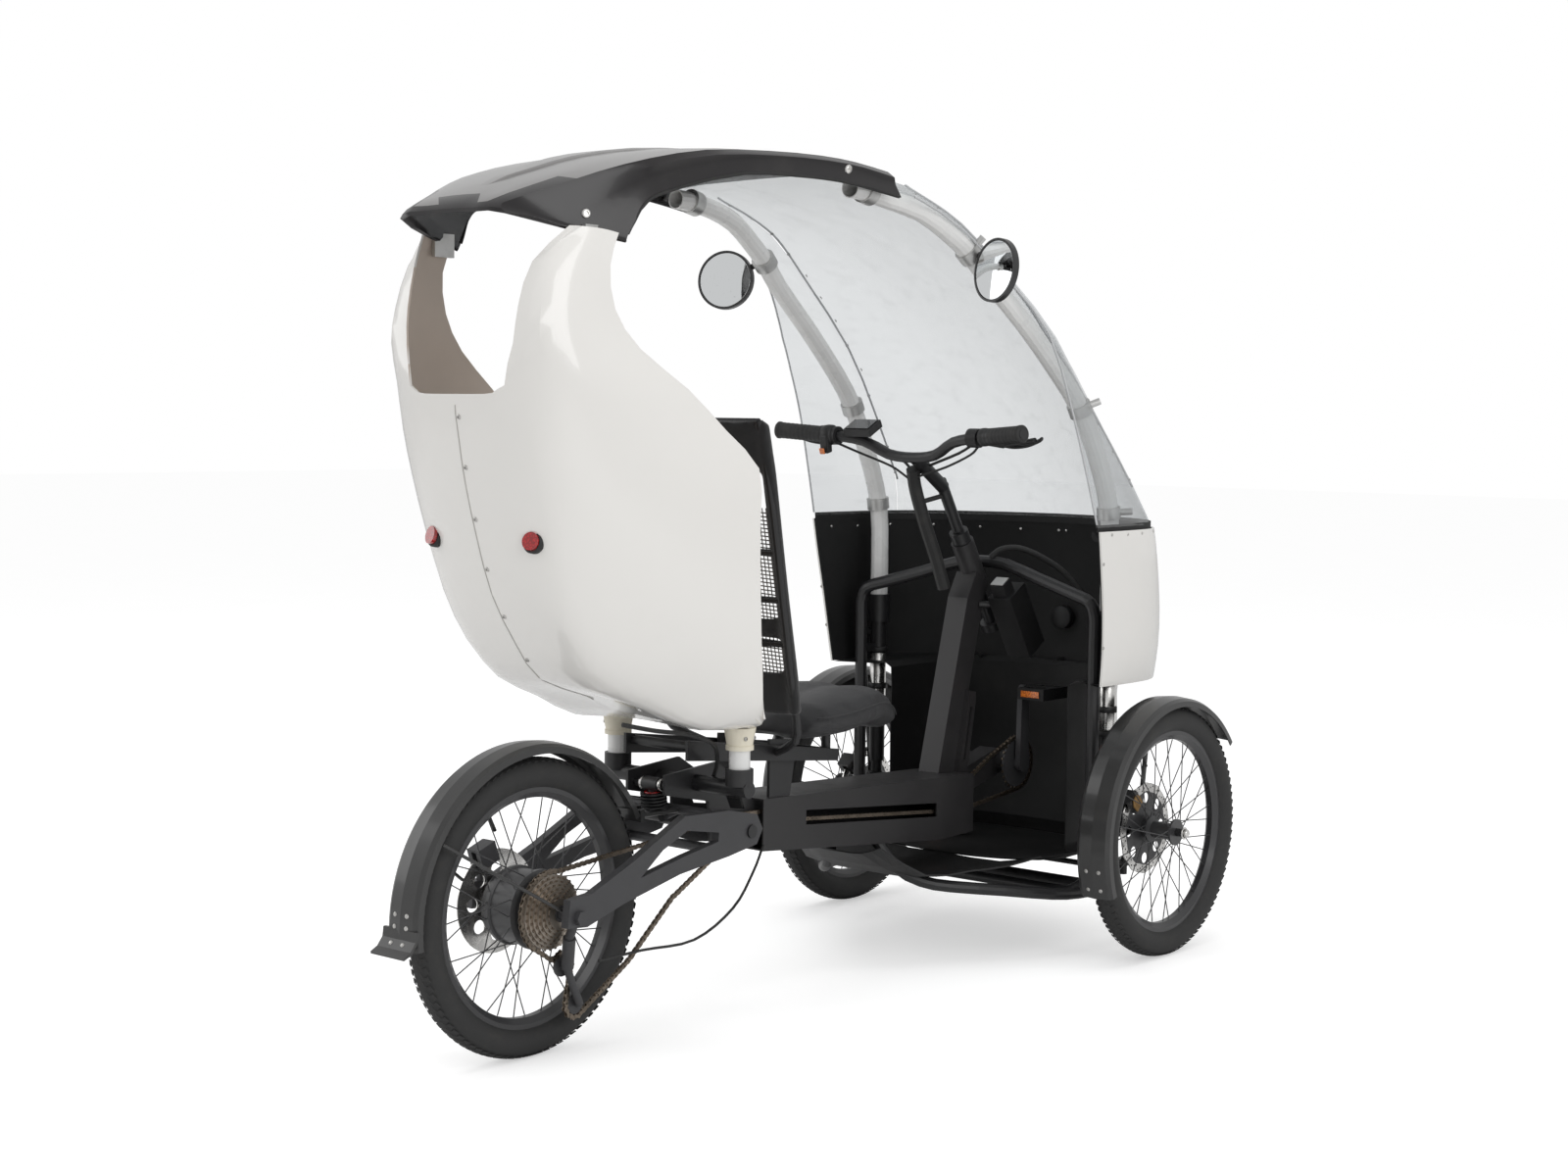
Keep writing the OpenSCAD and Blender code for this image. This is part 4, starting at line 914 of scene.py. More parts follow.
    def set_out(
        self,
        name: str,
        shape: Shape,
        places: list[tuple[Vector, Vector, Vector]],
        size: tuple[float, float, float],
        finish: Finish,
        body: str,
        turn: float = 0.0,
        seed: int = 1,
    ) -> bpy.types.Object:
        """Makes one piece of many small shapes.

        Args:
            name: the piece's name.
            shape: which small shape.
            places: for each one its place, the way it faces and the way that it runs.
            size: its scale in metres.
            finish: what it is made of.
            body: the body that it rides on.
            turn: the most that one may be turned about its facing, in radians.
            seed: of the turns.

        Returns:
            The piece, dressed.
        """
        mesh = bpy.data.meshes.new(name)
        mesh.from_pydata([tuple(p) for p, _f, _a in places], [], [])
        for attribute, index in (("facing", 1), ("along", 2)):
            stored = mesh.attributes.new(attribute, "FLOAT_VECTOR", "POINT")
            stored.data.foreach_set("vector", [c for row in places for c in row[index]])
        holder = bpy.data.objects.new(name + "_points", mesh)
        bpy.context.scene.collection.objects.link(holder)
        modifier = holder.modifiers.new("set_out", "NODES")
        modifier.node_group = self.tree
        values = {
            "Shape": self.shapes[shape], "Size": size, "Turn": turn, "Seed": seed,
            "Material": Finishes.get(finish),
        }
        for item in self.tree.interface.items_tree:
            if item.in_out == "INPUT" and item.name in values:
                modifier[item.identifier] = values[item.name]
        bpy.context.view_layer.update()
        graph = bpy.context.evaluated_depsgraph_get()
        result = bpy.data.meshes.new_from_object(holder.evaluated_get(graph))
        holder.modifiers.remove(modifier)
        bpy.data.objects.remove(holder)
        for attribute in ("facing", "along"):
            if attribute in result.attributes:
                result.attributes.remove(result.attributes[attribute])
        made = bpy.data.objects.new(name, result)
        result.name = name
        bpy.context.scene.collection.objects.link(made)
        return dress(made, finish, body)

    def clear(self) -> None:
        """Removes the small shapes once everything is set out."""
        for shape in self.shapes.values():
            bpy.data.objects.remove(shape)
        self.shapes = {}


# ---------------------------------------------------------------- studio


@dataclass
class Studio:
    """The pale floor, the soft lamps and the camera."""

    eye: tuple[float, float, float] = (-2752.93, -2822.93, 1092.69)
    yaw: float = math.radians(40.402)
    pitch: float = math.radians(-3.417)
    roll: float = math.radians(0.682)
    focal: float = 2393.07
    centre: tuple[float, float] = (762.0, 565.0)
    image: tuple[int, int] = (1600, 1200)
    sensor: float = 36.0
    floor_size: float = 60.0
    floor_glow: float = 0.46
    world_light: float = 0.64
    lamps: tuple = (
        ("overhead", (-0.4, 0.2, 4.6), (0, 0, 0.4), 4.0, 80.0),
        ("right_side", (-1.2, -4.6, 2.6), (0, 0, 0.7), 3.0, 56.0),
        ("left_side", (-2.6, 3.8, 2.4), (0, 0, 0.8), 3.0, 30.0),
    )

    def build(self) -> None:
        """Makes everything around the vehicle."""
        self._camera()
        self._floor()
        self._lamps()
        self._world()
        bpy.context.scene.view_settings.view_transform = "Standard"

    def _camera(self) -> None:
        """Stands the camera behind and to the right, at shoulder height."""
        ahead = Vector((
            math.cos(self.yaw) * math.cos(self.pitch), math.sin(self.yaw) * math.cos(self.pitch), math.sin(self.pitch)
        ))
        right = ahead.cross(Vector((0, 0, 1))).normalized()
        up = right.cross(ahead)
        leaned = right * math.cos(self.roll) + up * math.sin(self.roll)
        upright = up * math.cos(self.roll) - right * math.sin(self.roll)
        data = bpy.data.cameras.new("camera")
        data.sensor_width = self.sensor
        data.lens = self.focal * self.sensor / self.image[0]
        data.shift_x = (self.image[0] / 2 - self.centre[0]) / self.image[0]
        data.shift_y = (self.centre[1] - self.image[1] / 2) / self.image[0]
        camera = bpy.data.objects.new("camera", data)
        turn = Matrix((leaned, upright, -ahead)).transposed().to_4x4()
        camera.matrix_world = Matrix.Translation(at(*self.eye)) @ turn
        bpy.context.scene.collection.objects.link(camera)
        bpy.context.scene.camera = camera

    def _floor(self) -> None:
        """A wide pale floor that looks white to the camera and keeps the shadow."""
        half = self.floor_size / 2
        corners = [(-half, -half, 0), (half, -half, 0), (half, half, 0), (-half, half, 0)]
        floor = mesh_piece("floor", [Vector(c) for c in corners], [(0, 1, 2, 3)])
        graph = Graph("floor_paper")
        fleck = graph.noise(3.0, 2.0)
        seen = graph.node("ShaderNodeLightPath", out="Is Camera Ray")
        paper = graph.surface({
            "Base Color": graph.mix(fleck, (0.8, 0.8, 0.8), (0.82, 0.82, 0.82)),
            "Roughness": 0.9,
            "Specular IOR Level": 0.0,
            "Emission Color": graph.mix(seen, (0.0, 0.0, 0.0), (self.floor_glow,) * 3),
            "Emission Strength": 1.0,
        })
        floor.data.materials.append(graph.finish(paper))

    def _lamp(self, name: str, place: tuple, aim: tuple, size: float, power: float) -> None:
        """One soft square lamp.

        Args:
            name: the lamp's name.
            place: where it hangs, in metres.
            aim: the point it looks at, in metres.
            size: of its side.
            power: in watts.
        """
        data = bpy.data.lights.new(name, "AREA")
        data.size = size
        data.energy = power
        lamp = bpy.data.objects.new(name, data)
        lamp.location = place
        lamp.visible_glossy = name != "overhead"
        lamp.rotation_euler = (Vector(aim) - Vector(place)).to_track_quat("-Z", "Y").to_euler()
        bpy.context.scene.collection.objects.link(lamp)

    def _lamps(self) -> None:
        """A large lamp overhead, one from the camera's side and one from behind."""
        for lamp in self.lamps:
            self._lamp(*lamp)

    def _world(self) -> None:
        """Even white surroundings: full white to the camera, softer as light."""
        world = bpy.data.worlds.new("surroundings")
        world.use_nodes = True
        bpy.context.scene.world = world
        nodes, links = world.node_tree.nodes, world.node_tree.links
        nodes.clear()
        out = nodes.new("ShaderNodeOutputWorld")
        soft, white = nodes.new("ShaderNodeBackground"), nodes.new("ShaderNodeBackground")
        for light, strength in ((soft, self.world_light), (white, 1.0)):
            light.inputs["Color"].default_value = (1, 1, 1, 1)
            light.inputs["Strength"].default_value = strength
        rays = nodes.new("ShaderNodeLightPath")
        seen = nodes.new("ShaderNodeMath")
        seen.operation = "MAXIMUM"
        links.new(rays.outputs["Is Camera Ray"], seen.inputs[0])
        links.new(rays.outputs["Is Transmission Ray"], seen.inputs[1])
        blend = nodes.new("ShaderNodeMixShader")
        links.new(seen.outputs[0], blend.inputs[0])
        links.new(soft.outputs[0], blend.inputs[1])
        links.new(white.outputs[0], blend.inputs[2])
        links.new(blend.outputs[0], out.inputs["Surface"])


# ---------------------------------------------------------------- carried over


class Carried:
    """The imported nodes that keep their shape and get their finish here."""

    FINISH = {
        "main_beam": Finishes.BOX, "mast": Finishes.BOX, "front_arch": Finishes.FRAME,
        "floor_frame": Finishes.FRAME, "rear_frame": Finishes.FRAME, "front_struts": Finishes.FRAME,
        "seat_base": Finishes.FRAME, "knuckle_left": Finishes.FRAME, "knuckle_right": Finishes.FRAME,
        "steering_column": Finishes.FRAME, "handlebar": Finishes.FRAME, "swing_arm": Finishes.SATIN,
        "crankset": Finishes.SATIN, "rear_caliper": Finishes.SATIN, "derailleur": Finishes.SATIN,
        "seat_frame": Finishes.FRAME, "floor_tray": Finishes.PLASTIC, "rear_mudguard": Finishes.GUARD,
        "battery": Finishes.PLASTIC, "frame_cables": Finishes.SEAL, "bar_cables": Finishes.SEAL,
        "nose_liner": Finishes.LINER, "wiper": Finishes.PLASTIC,
        "bar_controls": Finishes.PLASTIC, "mudguard_left": Finishes.GUARD,
        "mudguard_right": Finishes.GUARD, "pedals": Finishes.PLASTIC, "rear_shock": Finishes.FRAME,
        "chain": Finishes.CHAIN, "cassette": Finishes.COG, "tie_rod": Finishes.FRAME,
        "rear_disc": Finishes.BRIGHT, "seat_cushions": Finishes.VINYL, "rear_shell_left": Finishes.SHELL,
        "rear_shell_right": Finishes.SHELL, "nose_cowl": Finishes.SHELL, "roof": Finishes.ROOF,
        "roof_tubes": Finishes.TUBE, "shell_supports": Finishes.CREAM, "tube_clamps": Finishes.CLAMP,
        "tail_lights": Finishes.RED, "headlight": Finishes.LAMP, "windscreen": Finishes.CLEAR,
        "side_screens": Finishes.CLEAR, "mirrors": Finishes.MIRROR_BODY, "front_left_tyre": Finishes.TYRE,
        "front_right_tyre": Finishes.TYRE, "rear_tyre": Finishes.TYRE, "front_left_rim": Finishes.RIM,
        "front_right_rim": Finishes.RIM, "rear_rim": Finishes.RIM, "front_left_hub": Finishes.HUB,
        "front_right_hub": Finishes.HUB, "hub_motor": Finishes.HUB,
    }

    def build(self, frame: dict) -> None:
        """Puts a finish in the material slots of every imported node.
        """
        for name, node in frame["nodes"].items():
            finish = self.FINISH.get(name, Finishes.FRAME)
            if node.material_slots:
                for slot in node.material_slots:
                    slot.material = Finishes.get(finish)
            else:
                node.data.materials.append(Finishes.get(finish))
            LOG.info("%s carried over in %s", name, finish.name)


# ---------------------------------------------------------------- smooth copies


class Smoothed:
    """Moulded panels whose packed facets are rounded off in a copy of the same surface."""

    PANELS = {
        "roof": ("roof_skin", "frame", Finishes.ROOF),
        "rear_shell_left": ("shell_skin_left", "frame", Finishes.SHELL),
        "rear_shell_right": ("shell_skin_right", "frame", Finishes.SHELL),
        "nose_cowl": ("cowl_skin", "frame", Finishes.SHELL),
        "nose_liner": ("liner_skin", "frame", Finishes.LINER),
        "windscreen": ("windscreen_sheet", "frame", Finishes.CLEAR),
        "side_screens": ("side_sheets", "frame", Finishes.CLEAR),
    }

    TUB_TOP = ((1634, 0), (1628, 98), (1608, 180), (1570, 240), (1500, 276), (1430, 266), (1370, 262), (1320, 262))
    TUB_LOW = ((1550, 0), (1548, 80), (1538, 146), (1514, 194), (1472, 216), (1412, 222), (1360, 224), (1320, 226))
    COWL_TOP = ((1640, 0), (1624, 104), (1592, 196), (1541, 276), (1470, 331), (1402, 352), (1310, 361), (1210, 364))
    COWL_LOW = ((1655, 0), (1640, 110), (1604, 206), (1550, 284), (1474, 332), (1406, 347), (1328, 348), (1256, 344))
    ledge = 2.0
    crown_slope = 0.88

    def __init__(self, edge_angle: float = 34.0, inside_painted_shade: Finish = Finishes.SHELL_INSIDE_PAINTED_SHADE) -> None:
        """Sets the angle past which an edge stays sharp, and the painted shade of the shell's inner face."""
        self.edge_angle = math.radians(edge_angle)
        self.inside_painted_shade = inside_painted_shade

    def build(self, frame: dict) -> None:
        """Makes every smooth copy.
        """
        for node, (name, body, finish) in self.PANELS.items():
            piece = self._copy(frame["nodes"][node], name)
            dress(piece, finish, body)
            if node.startswith("rear_shell"):
                # The faces inside the shell get painted shade.
                self._line(piece)
            if node == "roof":
                # The roof's top faces get a painted reflection in a lighter grey.
                self._paint_top_reflection(piece)
            if node == "nose_liner":
                self._close_tub(piece)
            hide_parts(node)

    def _copy(self, source: bpy.types.Object, name: str) -> bpy.types.Object:
        """A merged copy with smooth shading across its facets."""
        mesh = source.data.copy()
        mesh.name = name
        piece = bpy.data.objects.new(name, mesh)
        bpy.context.scene.collection.objects.link(piece)
        for key in [k for k in piece.keys() if k.startswith("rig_")]:
            del piece[key]
        work = bmesh.new()
        work.from_mesh(mesh)
        bmesh.ops.remove_doubles(work, verts=work.verts, dist=2e-5)
        work.to_mesh(mesh)
        work.free()
        if "custom_normal" in mesh.attributes:
            mesh.attributes.remove(mesh.attributes["custom_normal"])
        for face in mesh.polygons:
            face.use_smooth = True
        mesh.set_sharp_from_angle(angle=self.edge_angle)
        return piece

    def _close_tub(self, piece: bpy.types.Object) -> None:
        """Adds the liner's ledge, its floor down to the foot tray and the seal strip under the screen."""
        points, faces = [], []
        foot = self._inward(self.TUB_LOW, 1.0, 188.5)
        strips = (
            (self._inward(self.TUB_TOP, -1.0, 553.5), self._inward(self.COWL_LOW, 7.6, 557.5)),
            (self._inward(self.TUB_LOW, 1.0, 216.0), foot),
            (foot, [(1192.0, min(y * 1.1, 250.0), 189.5 + 0.0003 * y * y) for _x, y, _z in foot]),
            (self._inward(self.COWL_TOP, 7.4, 862.0), self._inward(self.COWL_TOP, 7.0, 881.0)),
        )
        for first, second in strips:
            for side in (1, -1):
                for depth in (0.0, self.ledge):
                    base = len(points)
                    for a, b in zip(first, second):
                        points += [at(a[0], side * a[1], a[2] - depth), at(b[0], side * b[1], b[2] - depth)]
                    for k in range(len(first) - 1):
                        i = base + 2 * k
                        faces.append((i, i + 1, i + 3, i + 2))
        work = bmesh.new()
        work.from_mesh(piece.data)
        made = [work.verts.new(p) for p in points]
        for face in faces:
            work.faces.new([made[i] for i in face])
        work.to_mesh(piece.data)
        work.free()

    def _inward(self, line: tuple, depth: float, height: float) -> list[tuple[float, float, float]]:
        """A rounded copy of a plan line, moved towards the middle of the vehicle.

        Args:
            line: (x, y) places from the nose back, in millimetres.
            depth: how far in.
            height: of the copy.

        Returns:
            Its places.
        """
        path = curved([Vector((x, y, 0)) for x, y in line], 4)
        made = []
        for k, point in enumerate(path):
            run = (path[min(k + 1, len(path) - 1)] - path[max(k - 1, 0)]).normalized()
            inside = Vector((-run.y, run.x, 0))
            if inside.dot(Vector((1300, 0, 0)) - point) < 0:
                inside = -inside
            moved = point + inside * depth
            made.append((moved.x, max(moved.y, 0.0), height))
        return made

    def _paint_top_reflection(self, piece: bpy.types.Object) -> None:
        """Paints the faces on top of the roof a lighter grey than its charcoal: a painted reflection of the bright
        surroundings.
        """
        piece.data.materials.append(Finishes.get(Finishes.ROOF_TOP_PAINTED_REFLECTION))
        for face in piece.data.polygons:
            if face.normal.z > self.crown_slope:
                face.material_index = 1

    def _line(self, piece: bpy.types.Object) -> None:
        """Gives the faces that look into the shell a darker, warmer copy of the white: painted shade inside the shell.
        """
        piece.data.materials.append(Finishes.get(self.inside_painted_shade))
        middle = at(150, 0, 900)
        for face in piece.data.polygons:
            out = face.center - middle
            if face.normal.dot(out) < 0:
                face.material_index = 1


# ---------------------------------------------------------------- wheels


@dataclass
class Wheels:
    """Treads, brake discs and valves of the three wheels."""

    radius: float = 255.0
    front_x: float = 1410.0
    track: float = 808.0
    rows: tuple[float, ...] = (-17.0, -6.0, 6.0, 17.0)
    blocks: int = 96
    disc_y: float = 360.0
    disc_radius: float = 92.2
    disc_half: float = 1.3
    disc_wave: float = 1.6
    disc_band: float = 17.0
    rear_disc_radius: float = 88.0
    hole_count: int = 60
    hole: tuple[float, float, float] = (0.0021, 0.0021, 0.0003)

    def build(self, repeater: Repeater) -> None:
        """Makes the parts of each wheel."""
        half = self.track / 2
        for body, x, y in (
            ("front_left_wheel", self.front_x, half),
            ("front_right_wheel", self.front_x, -half),
            ("rear_wheel", 0.0, 0.0),
        ):
            self._tread(repeater, body, x, y)
            self._valve(body, x, y)
        for side, body in ((1, "front_left_wheel"), (-1, "front_right_wheel")):
            self._disc(repeater, body, Vector((self.front_x, side * self.disc_y, self.radius)), self.disc_radius)
        self._rear_fasteners(repeater)

    def _tread(self, repeater: Repeater, body: str, x: float, y: float) -> None:
        """Sets out the small tread blocks round a tyre."""
        places = []
        for row, offset in enumerate(self.rows):
            sink = 0.0125 * offset * offset
            for k in range(self.blocks):
                turn = 2 * math.pi * (k + 0.5 * (row % 2)) / self.blocks
                out = Vector((math.cos(turn), offset * 0.022, math.sin(turn))).normalized()
                along = Vector((-math.sin(turn), 0.35 * (1 if offset > 0 else -1), math.cos(turn))).normalized()
                reach = self.radius - sink - 0.4
                centre = at(x + math.cos(turn) * reach, y + offset, self.radius + math.sin(turn) * reach)
                places.append((centre, out, along))
        repeater.set_out(body + "_tread", Shape.BLOCK, places, (0.0118, 0.0072, 0.0012), Finishes.TYRE, body)

    def _valve(self, body: str, x: float, y: float) -> None:
        """A valve stem that points from the rim to the axle."""
        turn = math.radians(118)
        path = [
            at(x + math.cos(turn) * r, y, self.radius + math.sin(turn) * r) for r in (186, 172, 158)
        ]
        dress(tube_mesh(body + "_valve", path, 0.003, 10), Finishes.SEAL, body)

    def _disc(self, repeater: Repeater, body: str, centre: Vector, radius: float) -> None:
        """A drilled steel disc band with wavy edges."""
        outline, inner, count = [], [], 96
        for k in range(count):
            turn = 2 * math.pi * k / count
            outline.append((radius + self.disc_wave * math.cos(turn * 12), turn))
            inner.append((radius - self.disc_band + 1.2 * math.cos(turn * 12), turn))
        points, faces = [], []
        for y in (-self.disc_half, self.disc_half):
            for ring in (outline, inner):
                points += [about(centre, y, reach, turn) for reach, turn in ring]
        for k in range(count):
            after = (k + 1) % count
            a, b, c, d = 0, count, 2 * count, 3 * count
            faces += [
                (a + k, a + after, b + after, b + k), (c + k, d + k, d + after, c + after),
                (a + k, c + k, c + after, a + after), (b + k, b + after, d + after, d + k),
            ]
        dress(mesh_piece(body + "_disc_band", points, faces, smooth=False), Finishes.BRIGHT, body)
        places = []
        for k in range(self.hole_count):
            turn = 2 * math.pi * k / self.hole_count
            reach = radius - (5, 9, 13)[k % 3]
            for y in (-self.disc_half, self.disc_half):
                places.append((about(centre, y, reach, turn), Vector((0, y, 0)), Vector((1, 0, 0))))
        repeater.set_out(body + "_disc_holes", Shape.RIVET, places, self.hole, Finishes.SEAL, body)

    def _rear_fasteners(self, repeater: Repeater) -> None:
        """Cover screws of the hub motor and holes of the rear disc."""
        places = []
        axle = Vector((0, 0, self.radius))
        for k in range(8):
            turn = 2 * math.pi * k / 8
            places.append((about(axle, 60.2, 52, turn), Vector((0, 1, 0)), Vector((1, 0, 0))))
        repeater.set_out(
            "motor_screws", Shape.SCREW, places, (0.0032, 0.0032, 0.0026), Finishes.STEEL, "rear_wheel", 1.0, 5
        )
        holes = []
        for k in range(self.hole_count):
            turn = 2 * math.pi * k / self.hole_count
            reach = self.rear_disc_radius - (6, 10, 14)[k % 3]
            holes.append((about(axle, 76.1, reach, turn), Vector((0, 1, 0)), Vector((1, 0, 0))))
        repeater.set_out("rear_disc_holes", Shape.RIVET, holes, self.hole, Finishes.SEAL, "rear_wheel")


# ---------------------------------------------------------------- seat


@dataclass
class Seat:
    """The padded saddle and the reclined back with its sleeve and net."""

    saddle: tuple = (
        (596, 502, 112, 14), (606, 508, 134, 46), (640, 516, 157, 60), (716, 522, 159, 68), (790, 527, 146, 72),
        (850, 524, 120, 72), (900, 512, 98, 66), (936, 498, 80, 48), (952, 488, 56, 26),
    )
    rail: tuple = ((514, 552), (504, 610), (474, 760), (442, 930), (412, 1074))
    voxel: float = 0.006
    swell: float = 0.007
    frames: int = 20

    def build(self) -> None:
        """Makes the saddle, the sleeve of the back, the net and the saddle's seam."""
        saddle = self._saddle()
        back = self._sleeve()
        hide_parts("seat_cushions")
        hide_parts("seat_cushions")
        self._net()
        self._piping()

    def _saddle(self) -> bpy.types.Object:
        """The wide saddle: full at the back, waisted and narrower towards its nose."""
        around = 40
        points, faces = [], []
        for x, z, half, depth in self.saddle:
            for j in range(around):
                turn = 2 * math.pi * j / around
                c, s = math.cos(turn), math.sin(turn)
                wide = math.copysign(abs(c) ** 0.62, c) * half
                tall = math.copysign(abs(s) ** 0.8, s) * depth / 2
                if s > 0:
                    tall += 5.0 * math.sin(math.pi * min(1.0, abs(wide) / half)) * s - 4.0 * (1 - abs(c)) * s
                else:
                    tall *= 0.72
                points.append(at(x, wide, z + tall))
        count = len(self.saddle)
        for k in range(count - 1):
            for j in range(around):
                after = (j + 1) % around
                faces.append((k * around + j, k * around + after, (k + 1) * around + after, (k + 1) * around + j))
        faces.append(tuple(range(around)))
        faces.append(tuple((count - 1) * around + j for j in range(around)))
        pad = mesh_piece("saddle_pad", points, faces)
        self._swell(pad, self.swell, 4.0)
        return dress(pad, Finishes.VINYL, "frame")

    def _sleeve(self) -> bpy.types.Object:
        """The cloth sleeve that is pulled over the top of the back and its side tubes."""
        parts = [
            self._pad_sheet("sleeve_top", [(428, 992), (418, 1040), (408, 1082)], 172.0, 15.0),
            self._pad_sheet("sleeve_foot", [(516, 548), (508, 586), (500, 628)], 166.0, 13.0),
        ]
        for side in (-1, 1):
            path = curved([at(x, side * 164, z) for x, z in self.rail], 5)
            parts.append(tube_mesh("sleeve_side", path, 0.0165, 14, flat=0.72))
        parts.append(self._pad_sheet("sleeve_band", [(484, 690), (480, 708), (476, 726)], 160.0, 6.0))
        whole = joined("back_pad", parts)
        self._swell(whole, 0.003, 2.0)
        return dress(whole, Finishes.CANVAS, "frame")

    def _pad_sheet(self, name: str, line: list[tuple[float, float]], half: float, thick: float) -> bpy.types.Object:
        """A thin padded panel across the back.

        Args:
            name: the piece's name.
            line: (x, z) places up the panel's middle.
            half: of its width.
            thick: of the pad.

        Returns:
            The panel as a closed form.
        """
        points, faces, around = [], [], 28
        for x, z in line:
            for j in range(around):
                turn = 2 * math.pi * j / around
                c, s = math.cos(turn), math.sin(turn)
                across = math.copysign(abs(c) ** 0.45, c) * half
                deep = math.copysign(abs(s) ** 0.8, s) * thick
                sag = -12.0 * (1 - (across / half) ** 2)
                points.append(at(x + deep + sag, across, z))
        count = len(line)
        for k in range(count - 1):
            for j in range(around):
                after = (j + 1) % around
                faces.append((k * around + j, k * around + after, (k + 1) * around + after, (k + 1) * around + j))
        faces.append(tuple(range(around)))
        faces.append(tuple((count - 1) * around + j for j in range(around)))
        return mesh_piece(name, points, faces)

    def _swell(self, pad: bpy.types.Object, reach: float, pressure: float) -> None:
        """Rounds and puffs a pad with a cloth simulation, then lays the result into its mesh.

        Args:
            pad: the closed form.
            reach: the most that a point may move.
            pressure: inside the cloth.
        """
        remesh = pad.modifiers.new("remesh", "REMESH")
        remesh.mode = "VOXEL"
        remesh.voxel_size = self.voxel
        self._apply(pad)
        start = [v.co.copy() for v in pad.data.vertices]
        cloth = pad.modifiers.new("cloth", "CLOTH")
        cloth.settings.use_pressure = True
        cloth.settings.uniform_pressure_force = pressure
        cloth.settings.tension_stiffness = 25
        cloth.settings.compression_stiffness = 25
        cloth.settings.bending_stiffness = 2
        cloth.settings.effector_weights.gravity = 0.0
        cloth.point_cache.frame_start = 1
        cloth.point_cache.frame_end = self.frames
        scene = bpy.context.scene
        for step in range(1, self.frames + 1):
            scene.frame_set(step)
        self._apply(pad)
        scene.frame_set(1)
        for vertex, before in zip(pad.data.vertices, start):
            moved = vertex.co - before
            if moved.length > reach:
                vertex.co = before + moved.normalized() * reach
        smooth = pad.modifiers.new("ease", "SMOOTH")
        smooth.iterations = 4
        finer = pad.modifiers.new("finer", "SUBSURF")
        finer.levels = 1
        finer.render_levels = 1
        self._apply(pad)
        for face in pad.data.polygons:
            face.use_smooth = True

    @staticmethod
    def _apply(piece: bpy.types.Object) -> None:
        """Bakes every modifier into the mesh."""
        bpy.context.view_layer.update()
        graph = bpy.context.evaluated_depsgraph_get()
        baked = bpy.data.meshes.new_from_object(piece.evaluated_get(graph))
        old = piece.data
        piece.modifiers.clear()
        piece.data = baked
        bpy.data.meshes.remove(old)

    def _net(self) -> None:
        """The pale stretched net low in the back, made of thin crossing cords."""
        cords = []
        low, high = 622.0, 925.0
        rows, half = 44, 150.0
        for k in range(rows):
            z = low + (high - low) * k / (rows - 1)
            x = 504 - (z - 610) * 0.2
            path = [at(x - 9 * (1 - (y / half) ** 2) + 5, y, z + 0.06 * y) for y in (-150, -75, 0, 75, 150)]
            cords.append(tube_mesh("net_row", path, 0.0013, 5))
        for k in range(37):
            y = -144.0 + 8.0 * k
            path = [
                at(504 - (z - 610) * 0.2 - 9 * (1 - (y / half) ** 2) + 5, y, z) for z in (low - 6, 690, 770, 850, high)
            ]
            cords.append(tube_mesh("net_column", path, 0.0011, 5))
        net = joined("back_net", cords)
        dress(net, Finishes.NET, "frame")

    def _piping(self) -> None:
        """The seam round the saddle."""
        rows = [(616, 132, 531), (640, 150, 534), (716, 154, 540), (790, 141, 545), (850, 116, 540), (900, 94, 524),
                (934, 76, 506)]
        half = curved([at(x, y, z) for x, y, z in rows], 6)
        loop = half + [Vector((p.x, -p.y, p.z)) for p in reversed(half)]
        seam = tube_mesh("saddle_seam", loop, 0.0016, 6)
        dress(seam, Finishes.VINYL, "frame")


# ---------------------------------------------------------------- trim


